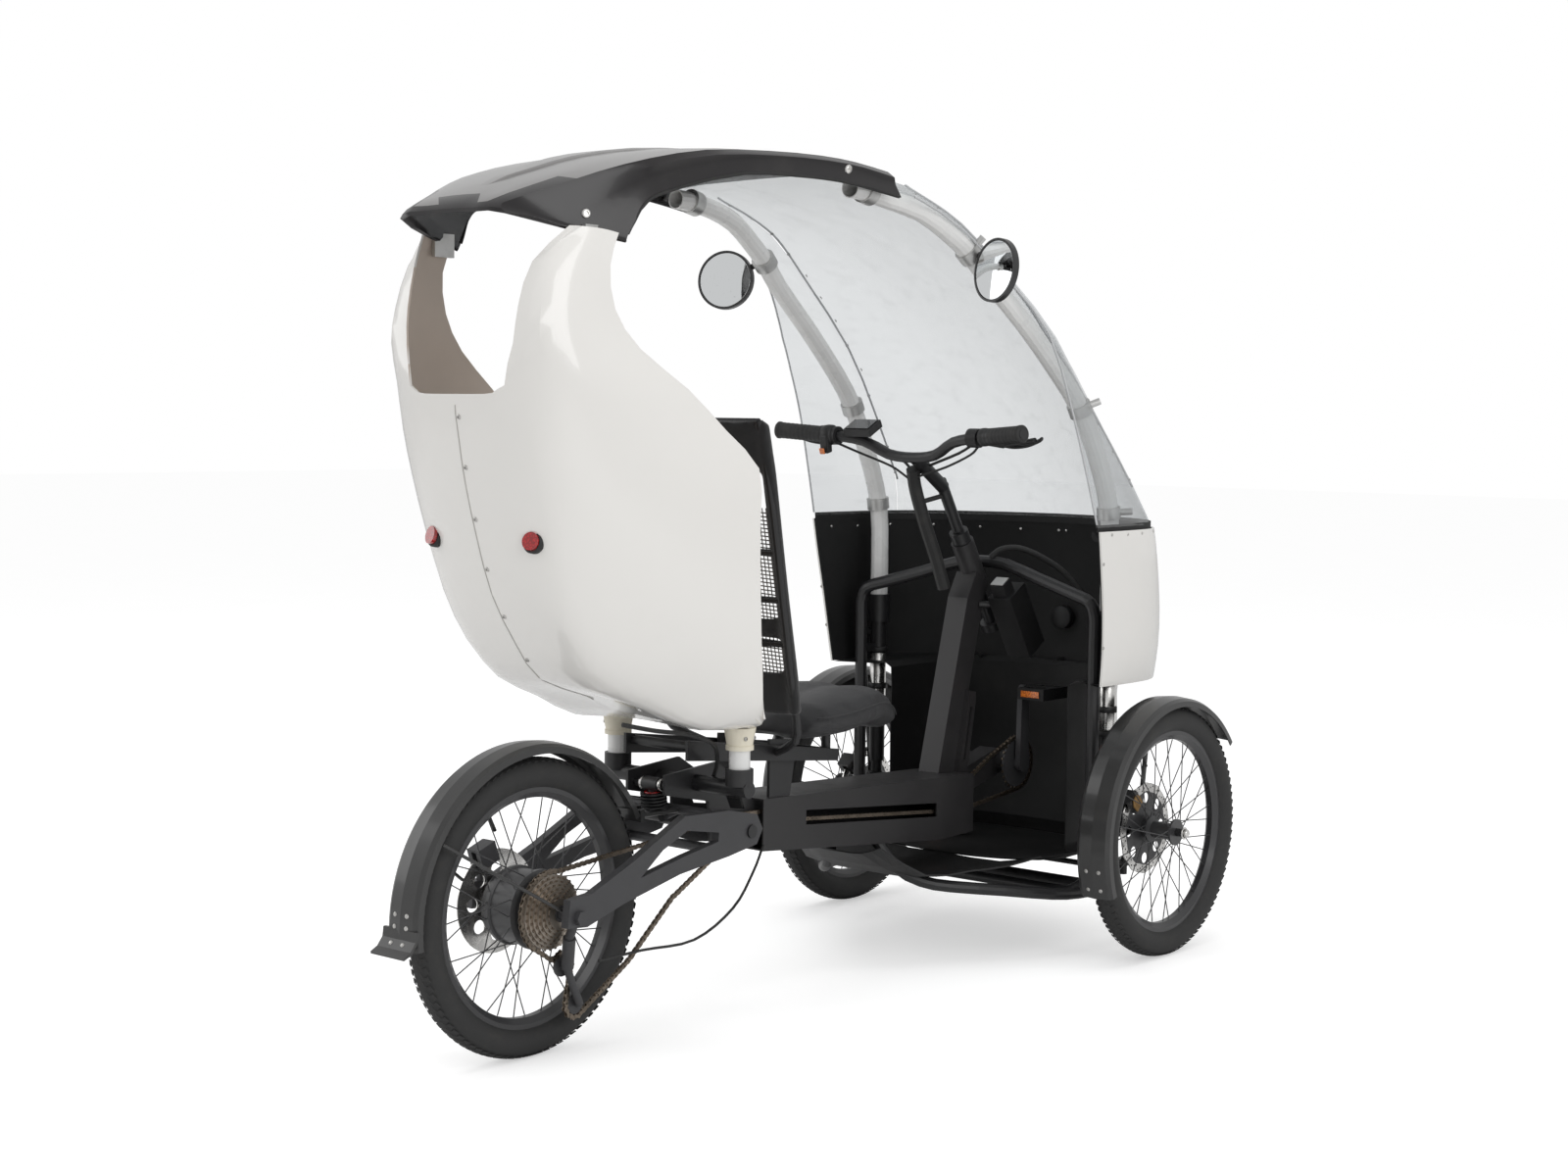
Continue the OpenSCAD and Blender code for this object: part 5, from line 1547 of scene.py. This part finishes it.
@dataclass
class Trim:
    """Rivets, bolts, screws, seams and edge strips of the shell, the roof and the screens."""

    rivet: tuple[float, float, float] = (0.0034, 0.0034, 0.0026)
    bolt: tuple[float, float, float] = (0.0085, 0.0085, 0.0062)
    screw: tuple[float, float, float] = (0.0042, 0.0042, 0.003)
    rivet_step: float = 0.072
    screen_line: tuple = (
        (732, 227, 1513), (905, 232, 1455), (1030, 246, 1366), (1118, 255, 1296), (1190, 258, 1220),
        (1250, 260, 1143), (1330, 264, 1040), (1405, 268, 930),
    )
    cowl_line: tuple = (
        (1222, 358, 862), (1300, 346, 860), (1380, 324, 858), (1450, 292, 856), (1520, 240, 853), (1575, 170, 851),
        (1606, 90, 850), (1616, 0, 850),
    )
    seam_line: tuple = (
        (-158, 1105), (-166, 1020), (-162, 940), (-146, 850), (-118, 760), (-74, 680), (-12, 610), (70, 566),
    )

    def build(self, frame: dict, repeater: Repeater) -> None:
        """Makes the trim of every panel."""
        self._screens(frame, repeater)
        self._cowl(frame, repeater)
        self._shell(frame, repeater)
        self._roof(frame, repeater)
        self._guards(frame, repeater)
        self._caps(frame, repeater)

    def _both(self, line: tuple) -> list[list[Vector]]:
        """A line of places on the left, and its twin on the right."""
        left = curved([at(x, y, z) for x, y, z in line], 8)
        return [left, [Vector((p.x, -p.y, p.z)) for p in left]]

    def _on(self, skin: Skin, line: list[Vector], step: float, outward: Vector | None = None) -> list:
        """Places along a line, laid on a surface.

        Args:
            skin: the surface.
            line: the line near it.
            step: between places.
            outward: a rough outward direction, for a sheet with two faces.

        Returns:
            Place, facing and running direction for each.
        """
        made = []
        for point in spaced(line, step, step / 2):
            place, normal = skin.nearest(point)
            rough = outward if outward is not None else Vector((place.x, place.y, 0))
            if normal.dot(rough) < 0:
                normal = -normal
                place = skin.nearest(place + normal * 0.006)[0]
            made.append((place, normal, Vector((1, 0, 0))))
        return made

    def _screens(self, frame: dict, repeater: Repeater) -> None:
        """Rivets, bright seam strips and seal edges of the clear sheets."""
        front = Skin("windscreen", frame)
        side = Skin("side_screens", frame)
        places = []
        for line in self._both(self.screen_line):
            places += self._on(front, line, self.rivet_step)
        repeater.set_out("screen_rivets", Shape.RIVET, places, self.rivet, Finishes.STEEL, "frame")
        strips = []
        for line in self._both(self.screen_line):
            path = [front.nearest(p)[0] + Vector((0, 0.001 if p.y > 0 else -0.001, 0.001)) for p in line]
            strips.append(tube_mesh("strip", path, 0.0022, 8))
        dress(joined("screen_seam_strips", strips), Finishes.EDGE, "frame")
        rear = (
            (722, 258, 1490), (800, 275, 1468), (880, 267, 1432), (985, 300, 1340), (1062, 332, 1252),
            (1130, 342, 1112), (1180, 352, 968), (1206, 358, 882),
        )
        edges = []
        for line in self._both(rear):
            path = [side.nearest(p)[0] for p in line]
            edges.append(tube_mesh("edge", path, 0.002, 8))
        dress(joined("side_sheet_edges", edges), Finishes.EDGE, "frame")

    def _cowl(self, frame: dict, repeater: Repeater) -> None:
        """Rivets along the top of the nose and down its rear edges."""
        skin = Skin("nose_cowl", frame)
        places = []
        for line in self._both(self.cowl_line):
            places += self._on(skin, line, 0.064)
        side = ((1222, 357, 846), (1232, 352, 760), (1244, 346, 660), (1252, 343, 590))
        for line in self._both(side):
            places += self._on(skin, line, 0.085)
        repeater.set_out("cowl_rivets", Shape.RIVET, places, self.rivet, Finishes.STEEL, "frame")
        liner = Skin("nose_liner", frame)
        inner = []
        for line in self._both(self.cowl_line):
            for place, normal, along in self._on(liner, [p - Vector((0, 0, 0.012)) for p in line], 0.09):
                inner.append((liner.nearest(place - normal * 0.008)[0], -normal, along))
        repeater.set_out("liner_rivets", Shape.RIVET, inner, self.rivet, Finishes.BRIGHT, "frame")

    def _shell(self, frame: dict, repeater: Repeater) -> None:
        """The joint down the middle of the shell and its screws."""
        skin = Skin("rear_shell_left", frame)
        line = curved([at(x, 0, z) for x, z in self.seam_line], 8)
        seat = [skin.seen_from(p + Vector((-0.3, 0.002, -0.1)), p + Vector((0, 0.002, 0)))[0] for p in line]
        seat = [Vector((p.x, 0.0, p.z)) for p in seat]
        dress(tube_mesh("shell_seam", seat, 0.0011, 8), Finishes.SEAM, "frame")
        places = []
        for z in (1082, 1000, 915, 832, 752, 676):
            start = at(-420, -7, z)
            place, normal = Skin("rear_shell_right", frame).seen_from(start, at(200, -7, z))
            places.append((place, normal if normal.x < 0 else -normal, Vector((0, 1, 0))))
        repeater.set_out("shell_screws", Shape.SCREW, places, self.screw, Finishes.STEEL, "frame", 1.0, 3)

    def _roof(self, frame: dict, repeater: Repeater) -> None:
        """Button bolts through the skirts, the seal along them and the raised rib on top."""
        skin = Skin("roof", frame)
        places = []
        for x, y, z in ((-47, 204, 1406), (527, 254, 1519)):
            for side in (1, -1):
                start = at(x, side * (y + 120), z + 10)
                place, normal = skin.seen_from(start, at(x, 0, z - 4))
                if normal.y * side < 0:
                    normal = -normal
                places.append((place, normal, Vector((1, 0, 0))))
        repeater.set_out("roof_bolts", Shape.SCREW, places, self.bolt, Finishes.BRIGHT, "frame", 1.0, 7)
        seals = []
        low = ((30, 199, 1378), (58, 208, 1434), (142, 218, 1465), (272, 234, 1495), (436, 250, 1502), (600, 258, 1493),
               (668, 262, 1486))
        for line in self._both(low):
            path = [skin.nearest(p)[0] for p in line]
            seals.append(tube_mesh("seal", path, 0.003, 8))
        dress(joined("roof_seals", seals), Finishes.SEAL, "frame")
        self._rib(skin)

    def _rib(self, skin: Skin) -> None:
        """The long raised rib on the roof, narrow at the rear and widening forwards."""
        columns, rows = 44, 18
        points, faces = [], []
        for k in range(columns):
            t = k / (columns - 1)
            x = -128 + t * 640
            half = 8 + 92 * t ** 0.9
            for j in range(rows):
                s = -1 + 2 * j / (rows - 1)
                place, _normal = skin.below(at(x, s * half, 1700))
                edge = min(1.0, (1 - abs(s)) * 4.2) * min(1.0, t * 9) * min(1.0, (1 - t) * 10)
                lift = 0.0052 * (edge * edge * (3 - 2 * edge)) - 0.0008
                points.append(place + Vector((0, 0, lift)))
        for k in range(columns - 1):
            for j in range(rows - 1):
                a = k * rows + j
                faces.append((a, a + rows, a + rows + 1, a + 1))
        base = len(points)
        points += [p - Vector((0, 0, 0.0035)) for p in points]
        faces += [tuple(base + i for i in reversed(f)) for f in list(faces)]
        rim = [j for j in range(rows)] + [k * rows + rows - 1 for k in range(1, columns)]
        rim += [(columns - 1) * rows + j for j in range(rows - 2, -1, -1)]
        rim += [k * rows for k in range(columns - 2, 0, -1)]
        for first, second in zip(rim, rim[1:] + rim[:1]):
            faces.append((first, second, base + second, base + first))
        # The rib takes the lighter grey of the roof's top: painted reflection.
        dress(mesh_piece("roof_rib", points, faces), Finishes.ROOF_TOP_PAINTED_REFLECTION, "frame")

    def _guards(self, frame: dict, repeater: Repeater) -> None:
        """Rivets at the ends of the mudguards."""
        for node, body, x, y, radius in (
            ("mudguard_left", "knuckle_left", 1410, 404, 275), ("mudguard_right", "knuckle_right", 1410, -404, 275),
            ("rear_mudguard", "frame", 0, 0, 283),
        ):
            skin = Skin(node, frame)
            places = []
            for degrees in (198, 190, 50) if node != "rear_mudguard" else (183, 178, 174):
                for offset in (-14, 14):
                    turn = math.radians(degrees)
                    out = Vector((math.cos(turn), 0, math.sin(turn)))
                    start = at(x, y + offset, 255) + out * (radius + 60) * MM
                    place, normal = skin.seen_from(start, at(x, y + offset, 255))
                    places.append((place, normal if normal.dot(out) > 0 else -normal, Vector((0, 1, 0))))
            repeater.set_out(node + "_rivets", Shape.RIVET, places, (0.0042, 0.0042, 0.003), Finishes.STEEL, body)

    def _caps(self, frame: dict, repeater: Repeater) -> None:
        """Screws of the cream caps."""
        places = []
        for side in (1, -1):
            for x in (366, 390):
                places.append((at(x, side * 176, 522), Vector((0, side, 0)), Vector((1, 0, 0))))
        skin = Skin("shell_supports", frame)
        laid = []
        for place, facing, along in places:
            spot, _normal = skin.seen_from(place + facing * 0.1, place - facing * 0.1)
            laid.append((spot, facing, along))
        repeater.set_out("cap_screws", Shape.SCREW, laid, self.screw, Finishes.STEEL, "frame", 1.0, 9)


# ---------------------------------------------------------------- lamps and mirrors


@dataclass
class Signals:
    """Mirror glasses, lamp bezels and reflectors."""

    mirror: tuple[float, float, float] = (878, 332, 1364)
    mirror_facing: tuple[float, float, float] = (-0.93, -0.30, 0.10)
    mirror_radius: float = 55.5
    tail: tuple[float, float, float] = (-105, 117, 882)

    def build(self) -> None:
        """Makes the mirrors' glasses, the tail lamps' bezels and the pedals' reflectors."""
        for side, name in ((1, "left"), (-1, "right")):
            out = Vector(self.mirror_facing).normalized()
            out = Vector((out.x, out.y * side, out.z))
            centre = at(self.mirror[0], self.mirror[1] * side, self.mirror[2]) + out * 0.0021
            r = self.mirror_radius * MM
            profile = [(0, 0.0), (r, 0.0), (r, 0.0018), (r * 0.98, 0.0021), (0, 0.0022)]
            glass = lathe("mirror_glass_" + name, profile, centre, out, 64)
            dress(glass, Finishes.MIRROR_GLASS, "frame")
            lamp_out = Vector((-0.97, 0.16 * side, 0.17)).normalized()
            lamp = at(self.tail[0], self.tail[1] * side, self.tail[2])
            bezel = lathe(
                "tail_bezel_" + name,
                [(0.0132, 0.001), (0.0142, 0.0048), (0.0172, 0.0046), (0.0186, 0.002), (0.0186, -0.007),
                 (0.0132, -0.007), (0.0132, 0.001)],
                lamp, lamp_out, 48,
            )
            dress(bezel, Finishes.SEAL, "frame")
        for side, name, height in ((-1, "right", 155.0), (1, "left", -155.0)):
            for end, label in ((-1, "rear"), (1, "front")):
                x = 1385 + end * 46.6
                corners = [
                    at(x, side * (121.5 - 22), 360 + height - 6.5), at(x, side * (121.5 + 22), 360 + height - 6.5),
                    at(x, side * (121.5 + 22), 360 + height + 6.5), at(x, side * (121.5 - 22), 360 + height + 6.5),
                ]
                plate = slab(f"pedal_reflector_{name}_{label}", corners, Vector((end * 0.0022, 0, 0)), 0.0006)
                tidy_normals(plate)
                dress(plate, Finishes.ORANGE, "cranks")


# ---------------------------------------------------------------- fittings


@dataclass
class Fittings:
    """Plated sleeves, axle nuts, calipers and other small bright or coloured pieces."""

    strut: tuple[float, float] = (1360.0, 294.0)
    sleeve: tuple[float, float] = (454.0, 572.0)
    hub: tuple[float, float, float] = (1410.0, 404.0, 255.0)
    shock_top: tuple[float, float, float] = (312.0, 0.0, 430.0)
    shock_foot: tuple[float, float, float] = (318.0, 0.0, 374.0)

    def build(self) -> None:
        """Makes the fittings of both sides."""
        for side, name in ((1, "left"), (-1, "right")):
            self._strut(side, name)
            self._axle(side, name)
            self._caliper(side, name)
        self._shock()
        self._battery()
        self._lamp()

    def _ring(
        self, name: str, centre: Vector, axis: Vector, inner: float, outer: float, length: float
    ) -> bpy.types.Object:
        """A short ring with eased corners, sizes in metres."""
        ease = 0.0006
        return lathe(name, [
            (inner, 0.0), (outer - ease, 0.0), (outer, ease), (outer, length - ease), (outer - ease, length),
            (inner, length), (inner, 0.0),
        ], centre, axis, 40)

    def _strut(self, side: int, name: str) -> None:
        """The plated inner leg of a front strut and the collars that end it."""
        x, y = self.strut[0], self.strut[1] * side
        low, high = self.sleeve
        up = Vector((0, 0, 1))
        leg = self._ring("strut_leg_" + name, at(x, y, low), up, 0.0166, 0.0176, (high - low) * MM)
        dress(leg, Finishes.BRIGHT, "frame")
        collars = [
            self._ring("collar", at(x, y, z), up, 0.0166, 0.0212, 0.012) for z in (low - 12, low + 38, high)
        ]
        dress(joined("strut_collars_" + name, collars), Finishes.PLASTIC, "frame")

    def _axle(self, side: int, name: str) -> None:
        """The bright nut and washer on the end of a front axle."""
        x, y, z = self.hub
        out = Vector((0, side, 0))
        nut = lathe("nut", [
            (0.0, 0.0072), (0.0062, 0.0072), (0.0086, 0.0054), (0.0092, 0.0), (0.0, 0.0),
        ], at(x, side * (y + 49.4), z), out, 6)
        washer = self._ring("washer", at(x, side * (y + 46.6), z), out, 0.0079, 0.0124, 0.0028)
        dress(joined("axle_nut_" + name, [nut, washer]), Finishes.BRIGHT, "knuckle_" + name)

    def _caliper(self, side: int, name: str) -> None:
        """The bronze cover on the outer face of a front caliper."""
        x, y, z = self.hub
        turn = math.radians(-45)
        along = Vector((math.cos(turn), 0, -math.sin(turn)))
        up = Vector((math.sin(turn), 0, math.cos(turn)))
        middle = at(x - 62, side * (y - 28), z + 62)
        outline = ((-13, -15), (13, -15), (15, 2), (8, 15), (-8, 15), (-15, 2))
        corners = [middle + along * a * MM + up * b * MM for a, b in outline]
        cover = slab("caliper_cover_" + name, corners, Vector((0, side * 0.0032, 0)), 0.0009)
        tidy_normals(cover)
        dress(cover, Finishes.BRONZE, "knuckle_" + name)

    def _shock(self) -> None:
        """Silver bushings at the shock's upper eye and its red setting ring."""
        top, foot = at(*self.shock_top), at(*self.shock_foot)
        down = (foot - top).normalized()
        bushings = []
        for side in (1, -1):
            eye = top + Vector((0, side * 0.0182, 0))
            bushings.append(self._ring("bushing", eye, Vector((0, side, 0)), 0.0074, 0.0116, 0.008))
        dress(joined("shock_bushings", bushings), Finishes.BRIGHT, "frame")
        dress(self._ring("shock_setting", top + down * 0.0125, down, 0.0088, 0.0168, 0.0022), Finishes.RED, "frame")

    def _lamp(self) -> None:
        """The black cup over the back of the headlight."""
        cup = lathe("headlight_cup", [
            (0.0, -0.0276), (0.0236, -0.0276), (0.0252, -0.026), (0.0252, -0.0072), (0.0243, -0.0072),
            (0.0243, -0.0266), (0.0, -0.0266),
        ], at(1664, 0, 650), Vector((0.99939, 0, -0.0349)), 40)
        dress(cup, Finishes.PLASTIC, "frame")

    def _battery(self) -> None:
        """The grey grip on top of the battery."""
        tilt = math.radians(-32)
        ahead = Vector((math.cos(tilt), 0, -math.sin(tilt)))
        up = Vector((math.sin(tilt), 0, math.cos(tilt)))
        middle = at(1352, -74, 668) - ahead * 0.010 + up * 0.1032
        corners = [
            middle + ahead * a * 0.0135 + Vector((0, b * 0.0155, 0)) for a, b in ((-1, -1), (1, -1), (1, 1), (-1, 1))
        ]
        grip = slab("battery_grip", corners, up * 0.0026, 0.0008)
        tidy_normals(grip)
        dress(grip, Finishes.CLAMP, "frame")


# ---------------------------------------------------------------- drive


@dataclass
class Drive:
    """The chain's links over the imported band, the cogs' teeth and the ring's teeth."""

    chain_y: float = -58.0
    pitch: float = 0.0127
    crank: tuple[float, float] = (1385.0, 360.0)
    ring_radius: float = 50.0
    cog_radius: float = 63.0

    def build(self, repeater: Repeater) -> None:
        """Makes the links and the teeth."""
        path = [at(x, self.chain_y, z) for x, z in self._route()]
        path.append(path[0].copy())
        places = []
        points = spaced(path, self.pitch)
        for first, second in zip(points, points[1:]):
            along = (second - first).normalized()
            up = along.cross(Vector((0, 1, 0))).normalized()
            places.append((first, up, along))
        links = repeater.set_out(
            "chain_links", Shape.LINK, places, (self.pitch, 0.0105, 0.0118), Finishes.CHAIN, "frame"
        )
        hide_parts("chain")
        teeth = []
        for k in range(24):
            turn = 2 * math.pi * k / 24
            out = Vector((math.cos(turn), 0, math.sin(turn)))
            centre = at(self.crank[0], self.chain_y, self.crank[1]) + out * (self.ring_radius + 1.2) * MM
            teeth.append((centre, out, Vector((0, 1, 0))))
        repeater.set_out("ring_teeth", Shape.BLOCK, teeth, (0.0028, 0.0055, 0.006), Finishes.CHAIN, "cranks")
        cogs = []
        for row in range(7):
            radius = self.cog_radius - 6 * row
            count = 32 - 3 * row
            y = -57 - 4 * row
            for k in range(count):
                turn = 2 * math.pi * k / count
                out = Vector((math.cos(turn), 0, math.sin(turn)))
                cogs.append((at(0, y, 255) + out * (radius + 0.9) * MM, out, Vector((0, 1, 0))))
        repeater.set_out("cog_teeth", Shape.BLOCK, cogs, (0.0019, 0.0048, 0.0044), Finishes.CHAIN, "rear_wheel")

    def _arc(self, x: float, z: float, radius: float, start: float, end: float, steps: int) -> list:
        """Places on an arc, in degrees from ahead."""
        made = []
        for k in range(steps + 1):
            turn = math.radians(start + (end - start) * k / steps)
            made.append((x + radius * math.cos(turn), z + radius * math.sin(turn)))
        return made

    def _route(self) -> list[tuple[float, float]]:
        """The chain's way round, as (x, z) places."""
        wheel_z = 255.0
        up, low = (26.0, wheel_z - 96), (58.0, wheel_z - 166)
        way = self._arc(*self.crank, self.ring_radius + 6, 115, -85, 18)
        way += [(1190, 284), (1090, 292), (640, 332), (545, 330), (440, 306), (300, 232), (190, 140)]
        way += self._arc(*low, 23, -60, -200, 8)
        way += self._arc(*up, 23, -20, 150, 8)
        way += self._arc(0, wheel_z, self.cog_radius + 6, 232, 75, 14)
        return way + [(300, 345), (440, 362), (560, 358), (800, 350), (1190, 336), (1290, 384)]


# ---------------------------------------------------------------- handlebar


@dataclass
class Cockpit:
    """Grips, levers, switches and the display on the handlebar."""

    grip: tuple = ((1018, 305, 1060), (1041, 198, 1052))
    ribs: int = 9

    def build(self) -> None:
        """Makes what is on the bar."""
        for side, name in ((1, "left"), (-1, "right")):
            outer = at(self.grip[0][0], self.grip[0][1] * side, self.grip[0][2])
            inner = at(self.grip[1][0], self.grip[1][1] * side, self.grip[1][2])
            along = (outer - inner).normalized()
            length = (outer - inner).length
            profile = [
                (0.0, length + 0.001), (0.0150, length + 0.001), (0.0178, length - 0.002), (0.0178, length - 0.007),
            ]
            for k in range(self.ribs):
                h = length - 0.010 - k * (length - 0.022) / self.ribs
                profile += [(0.0164, h), (0.0168, h - 0.002), (0.0168, h - 0.0062), (0.0164, h - 0.0082)]
            profile += [(0.0182, 0.007), (0.0182, 0.0), (0.0, 0.0)]
            dress(lathe("grip_" + name, profile, inner, along, 32), Finishes.SEAL, "handlebar")
            self._lever(side, name)
        self._switch()
        self._display()

    def _lever(self, side: int, name: str) -> None:
        """A curved brake lever blade in front of a grip."""
        path = curved([
            at(1078, side * 206, 1040), at(1092, side * 232, 1034), at(1090, side * 268, 1037),
            at(1080, side * 300, 1046), at(1072, side * 312, 1050),
        ], 6)
        dress(tube_mesh("lever_" + name, path, 0.0052, 12, flat=0.7), Finishes.PLASTIC, "handlebar")

    def _switch(self) -> None:
        """The left switch pod with its orange button."""
        pod = lathe(
            "switch_pod",
            [(0, 0.014), (0.015, 0.014), (0.0205, 0.0105), (0.0215, 0), (0.0205, -0.0105), (0.015, -0.014),
             (0, -0.014)],
            at(1040, 186, 1051), Vector((0, 1, -0.05)), 32,
        )
        dress(pod, Finishes.PLASTIC, "handlebar")
        body = slab("switch_drop", [
            at(1018, 176, 1050), at(1036, 176, 1054), at(1040, 176, 1016), at(1024, 176, 1012)
        ], Vector((0, 0.02, 0)), 0.003)
        tidy_normals(body)
        dress(body, Finishes.PLASTIC, "handlebar")
        button = slab("switch_button", [
            at(1016.5, 180, 1024), at(1021, 180, 1012), at(1021, 192, 1012), at(1016.5, 192, 1024)
        ], Vector((-0.0035, 0, -0.001)), 0.0012)
        tidy_normals(button)
        dress(button, Finishes.ORANGE, "handlebar")

    def _display(self) -> None:
        """The glass of the display left of the stem."""
        up = Vector((-0.47, 0, 0.883))
        across = Vector((0, 1, 0))
        ahead = across.cross(up)
        centre = at(1056, 112, 1066) + up * 0.0084
        corners = [
            centre + ahead * a * 0.019 + across * b * 0.029 for a, b in ((-1, -1), (1, -1), (1, 1), (-1, 1))
        ]
        glass = slab("display_glass", corners, up * 0.0016, 0.0005)
        tidy_normals(glass)
        dress(glass, Finishes.DISPLAY, "handlebar")


def main() -> None:
    """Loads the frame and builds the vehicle's pieces in order."""
    logging.basicConfig(level=logging.INFO, format="%(name)s: %(message)s")
    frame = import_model()
    Studio().build()
    Carried().build(frame)
    repeater = Repeater()
    Seat().build()
    Smoothed().build(frame)
    Wheels().build(repeater)
    Trim().build(frame, repeater)
    Signals().build()
    Fittings().build()
    Drive().build(repeater)
    Cockpit().build()
    repeater.clear()


if __name__ == "__main__":
    main()
